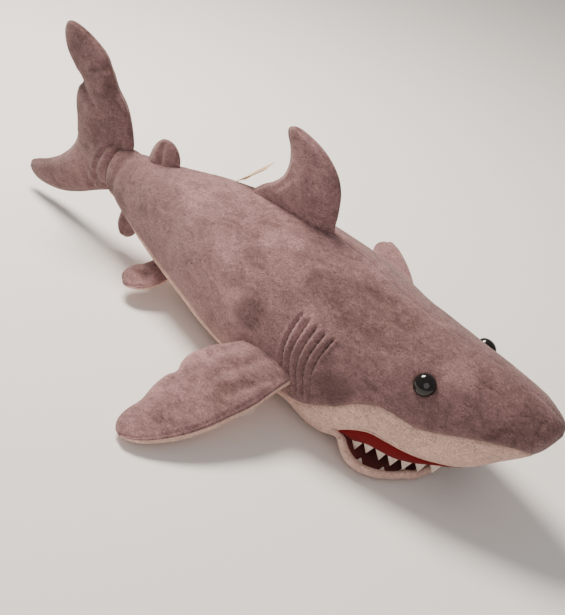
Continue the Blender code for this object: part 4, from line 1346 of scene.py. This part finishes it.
class SHARK_OT_tail(Step):
    """Sew the tail fin onto the tail's root"""

    bl_idname = "shark.tail"
    bl_label = "Tail Fin"

    def make(self, sizes, colours):
        half, middle, top, bottom = curve(BODY, np.array(float(TAIL_ROOT_X)))
        ring_rows = []
        for row in TAIL:
            z = row[1]
            width = row[2]
            if width < 0:
                up = max((z - middle) / (top - middle), 0)
                down = max((middle - z) / (middle - bottom), 0)
                level, power = (up, TOP_POWER) if z > middle else (down, BOTTOM_POWER)
                reach = (1 - level ** power) ** (1 / power)
                width = half * reach
            ring_rows.append((*row[:2], width, *row[3:]))
        shape = along(ring_rows, 150)
        v = (1 - np.cos(np.linspace(0, math.pi, 60))) / 2
        v = 0.5 * v + 0.5 * np.linspace(0, 1, 60)
        front, rear = shape[:, None, 0:2], shape[:, None, 3:5]
        flat = front + (rear - front) * v[None, :, None]
        chord = np.linalg.norm(shape[:, 0:2] - shape[:, 3:5], axis=1)[:, None]
        root = np.maximum(shape[:, 2:3], 0)
        swell = (shape[:, 5:6] * pillow(v)[None]) ** 2
        lift = np.sqrt(swell + (root * (1 - v)[None] ** 0.9) ** 2)
        edge = np.where(root > 1, (1 - v)[None] * chord, np.minimum(v, 1 - v)[None] * chord)
        lift = np.maximum(lift - 0.8 * bell(edge - 2.2, 1.6) * step(0, 3, chord), 0)
        for side, sign in SIDES:
            grid = np.stack([flat[..., 0], sign * lift, flat[..., 1]], -1)
            height = relief(grid, sizes) + 0.7 * lumps(grid, 16, 70 + sign)
            for (ax, ab), (bx, bb), depth, width in (
                ((-268, 141), (-238, 128), 1.6, 3.6), ((-232, 168), (-246, 160), 1.4, 3.0),
                ((-262, 84), (-232, 88), 1.2, 4.0),
                ((-222, 46), (-236, 62), 1.0, 3.4),
            ):
                run = np.array([bx - ax, bb - ab], float)
                share = np.clip(((flat - np.array([ax, ab])) @ run) / (run @ run), 0, 1)
                off = np.linalg.norm(flat - np.array([ax, ab]) - share[..., None] * run, axis=-1)
                height = height - depth * (bell(off, width) - 0.45 * bell(off - 2.2 * width, 1.4 * width))
            ring_edge = step(1, 6, root) * (1 - step(3.2, 7.0, v[None] * chord))
            height = height * step(0, 5, lift) - 2.9 * ring_edge
            outer_lift = np.where(lift <= 1e-6, 0, np.maximum(lift + height, 0.2 * lift))
            inner_lift = np.where(lift <= 1e-6, 0, np.maximum(outer_lift - 2.4, 0.12 * outer_lift))
            outer = np.stack([flat[..., 0], sign * outer_lift, flat[..., 1]], -1)
            inner = np.stack([flat[..., 0], sign * inner_lift, flat[..., 1]], -1)
            item = shell("tail_fin_panel_" + side, outer, inner)
            inside = ["tail_fin_stuffing"] if side == "left" else []
            finish_piece(item, FINISHES["grey_plush"], "grey_plush", "tail_fin_cover_" + side,
                *inside, fill=0.75)
            over_tail(item)


class SHARK_OT_label(Step):
    """Fold the blank care label"""

    bl_idname = "shark.label"
    bl_label = "Care Label"

    def make(self, sizes, colours):
        low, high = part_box("care_label")
        width = (high.y - low.y) / MM
        middle = (high.y + low.y) / 2 / MM
        length = LABEL_LENGTH
        s = np.linspace(-LABEL_SEWN_IN, length, 44)
        lean = math.radians(45)
        bow = 0.5 * np.sin(math.pi * np.clip(s, 0, length) / length)
        x = -60 + s * math.cos(lean) - bow * math.sin(lean)
        z = 134.6 + s * math.sin(lean) + bow * math.cos(lean)
        across = np.linspace(-width / 2, width / 2, 17)
        curl = 0.5 * (across / (width / 2)) ** 2
        grids = []
        for offset in (0.42, -0.42):
            open_end = np.sin(np.clip((length - s) / 5, 0, 1) * math.pi / 2)
            off = offset * (0.35 + 0.65 * open_end)[:, None] + curl[None]
            grids.append(np.stack([
                x[:, None] + off * math.sin(lean), middle + across[None] + 0 * off,
                z[:, None] - off * math.cos(lean) + 0.4 * across[None] * step(0, 20, s)[:, None],
            ], -1))
        item = shell("care_label_ribbon", grids[0], grids[1])
        finish_piece(item, FINISHES["ribbon"], "ribbon", "care_label")
        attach(item, "care_label")


class SHARK_OT_stage(Step):
    """Set the pale floor, the soft lights and the camera"""

    bl_idname = "shark.stage"
    bl_label = "Stage"

    def make(self, sizes, colours):
        deselect()
        bpy.ops.mesh.primitive_plane_add(size=14, location=(0, 0, 0))
        floor = bpy.context.object
        floor.name = floor.data.name = "floor"
        n = Nodes("pale floor")
        floor.data.materials.append(n.surface((0.90, 0.885, 0.87), 0.9, None))
        world = bpy.data.worlds.new("soft sky")
        world.use_nodes = True
        world.node_tree.nodes["Background"].inputs["Color"].default_value = (1.0, 0.97, 0.94, 1)
        world.node_tree.nodes["Background"].inputs["Strength"].default_value = SKY_STRENGTH
        bpy.context.scene.world = world
        for name, place, power, size, tint in (
            ("key light", (-0.75, 0.15, 1.25), 43.0, 0.6, (1.0, 0.89, 0.78)),
            ("fill light", (0.9, -1.3, 1.1), 7.0, 1.4, (1.0, 0.94, 0.90)),
        ):
            data = bpy.data.lights.new(name, "AREA")
            data.shape = "DISK"
            data.energy, data.size, data.color = power, size, tint
            light = bpy.data.objects.new(name, data)
            light.location = place
            light.rotation_euler = (LIGHT_TARGET - light.location).to_track_quat("-Z", "Y").to_euler()
            bpy.context.scene.collection.objects.link(light)
        data = bpy.data.cameras.new("camera")
        data.lens = CAMERA_LENS
        data.clip_start, data.clip_end = 0.01, 50
        camera = bpy.data.objects.new("camera", data)
        bpy.context.scene.collection.objects.link(camera)
        azimuth, elevation, roll = map(math.radians, (CAMERA_AZIMUTH, CAMERA_ELEVATION, CAMERA_ROLL))
        back = Vector((math.sin(azimuth) * math.cos(elevation),
            -math.cos(azimuth) * math.cos(elevation), math.sin(elevation)))
        right = Vector((math.cos(azimuth), math.sin(azimuth), 0))
        up = back.cross(right)
        across = right * math.cos(roll) + up * math.sin(roll)
        over = up * math.cos(roll) - right * math.sin(roll)
        view = Matrix((across, over, back)).transposed().to_4x4()
        view.translation = CAMERA_PLACE
        camera.matrix_world = view
        bpy.context.scene.camera = camera


OPERATORS = (
    SHARK_OT_stage, SHARK_OT_finishes, SHARK_OT_back, SHARK_OT_belly, SHARK_OT_jaw, SHARK_OT_mouth,
    SHARK_OT_teeth,
    SHARK_OT_eyes, SHARK_OT_gills, SHARK_OT_dorsal, SHARK_OT_second_dorsal, SHARK_OT_anal,
    SHARK_OT_pectorals,
    SHARK_OT_pelvics, SHARK_OT_tail, SHARK_OT_label,
)


class SHARK_PT_panel(bpy.types.Panel):
    """Sizes, colours and the building steps of the plush shark"""

    bl_idname = "SHARK_PT_panel"
    bl_label = "Plush Shark"
    bl_space_type = "VIEW_3D"
    bl_region_type = "UI"
    bl_category = "Plush Shark"

    def draw(self, context):
        for group in (context.scene.shark_sizes, context.scene.shark_colours):
            for name in group.__annotations__:
                self.layout.prop(group, name)
        for operator in OPERATORS:
            self.layout.operator(operator.bl_idname)


CLASSES = (SharkSizes, SharkColours, *OPERATORS, SHARK_PT_panel)


def register():
    for made in CLASSES:
        bpy.utils.register_class(made)
    bpy.types.Scene.shark_sizes = PointerProperty(type=SharkSizes)
    bpy.types.Scene.shark_colours = PointerProperty(type=SharkColours)


def unregister():
    del bpy.types.Scene.shark_colours
    del bpy.types.Scene.shark_sizes
    for made in reversed(CLASSES):
        bpy.utils.unregister_class(made)


def main():
    register()
    for operator in OPERATORS:
        group, name = operator.bl_idname.split(".")
        getattr(getattr(bpy.ops, group), name)()


if __name__ == "__main__":
    main()
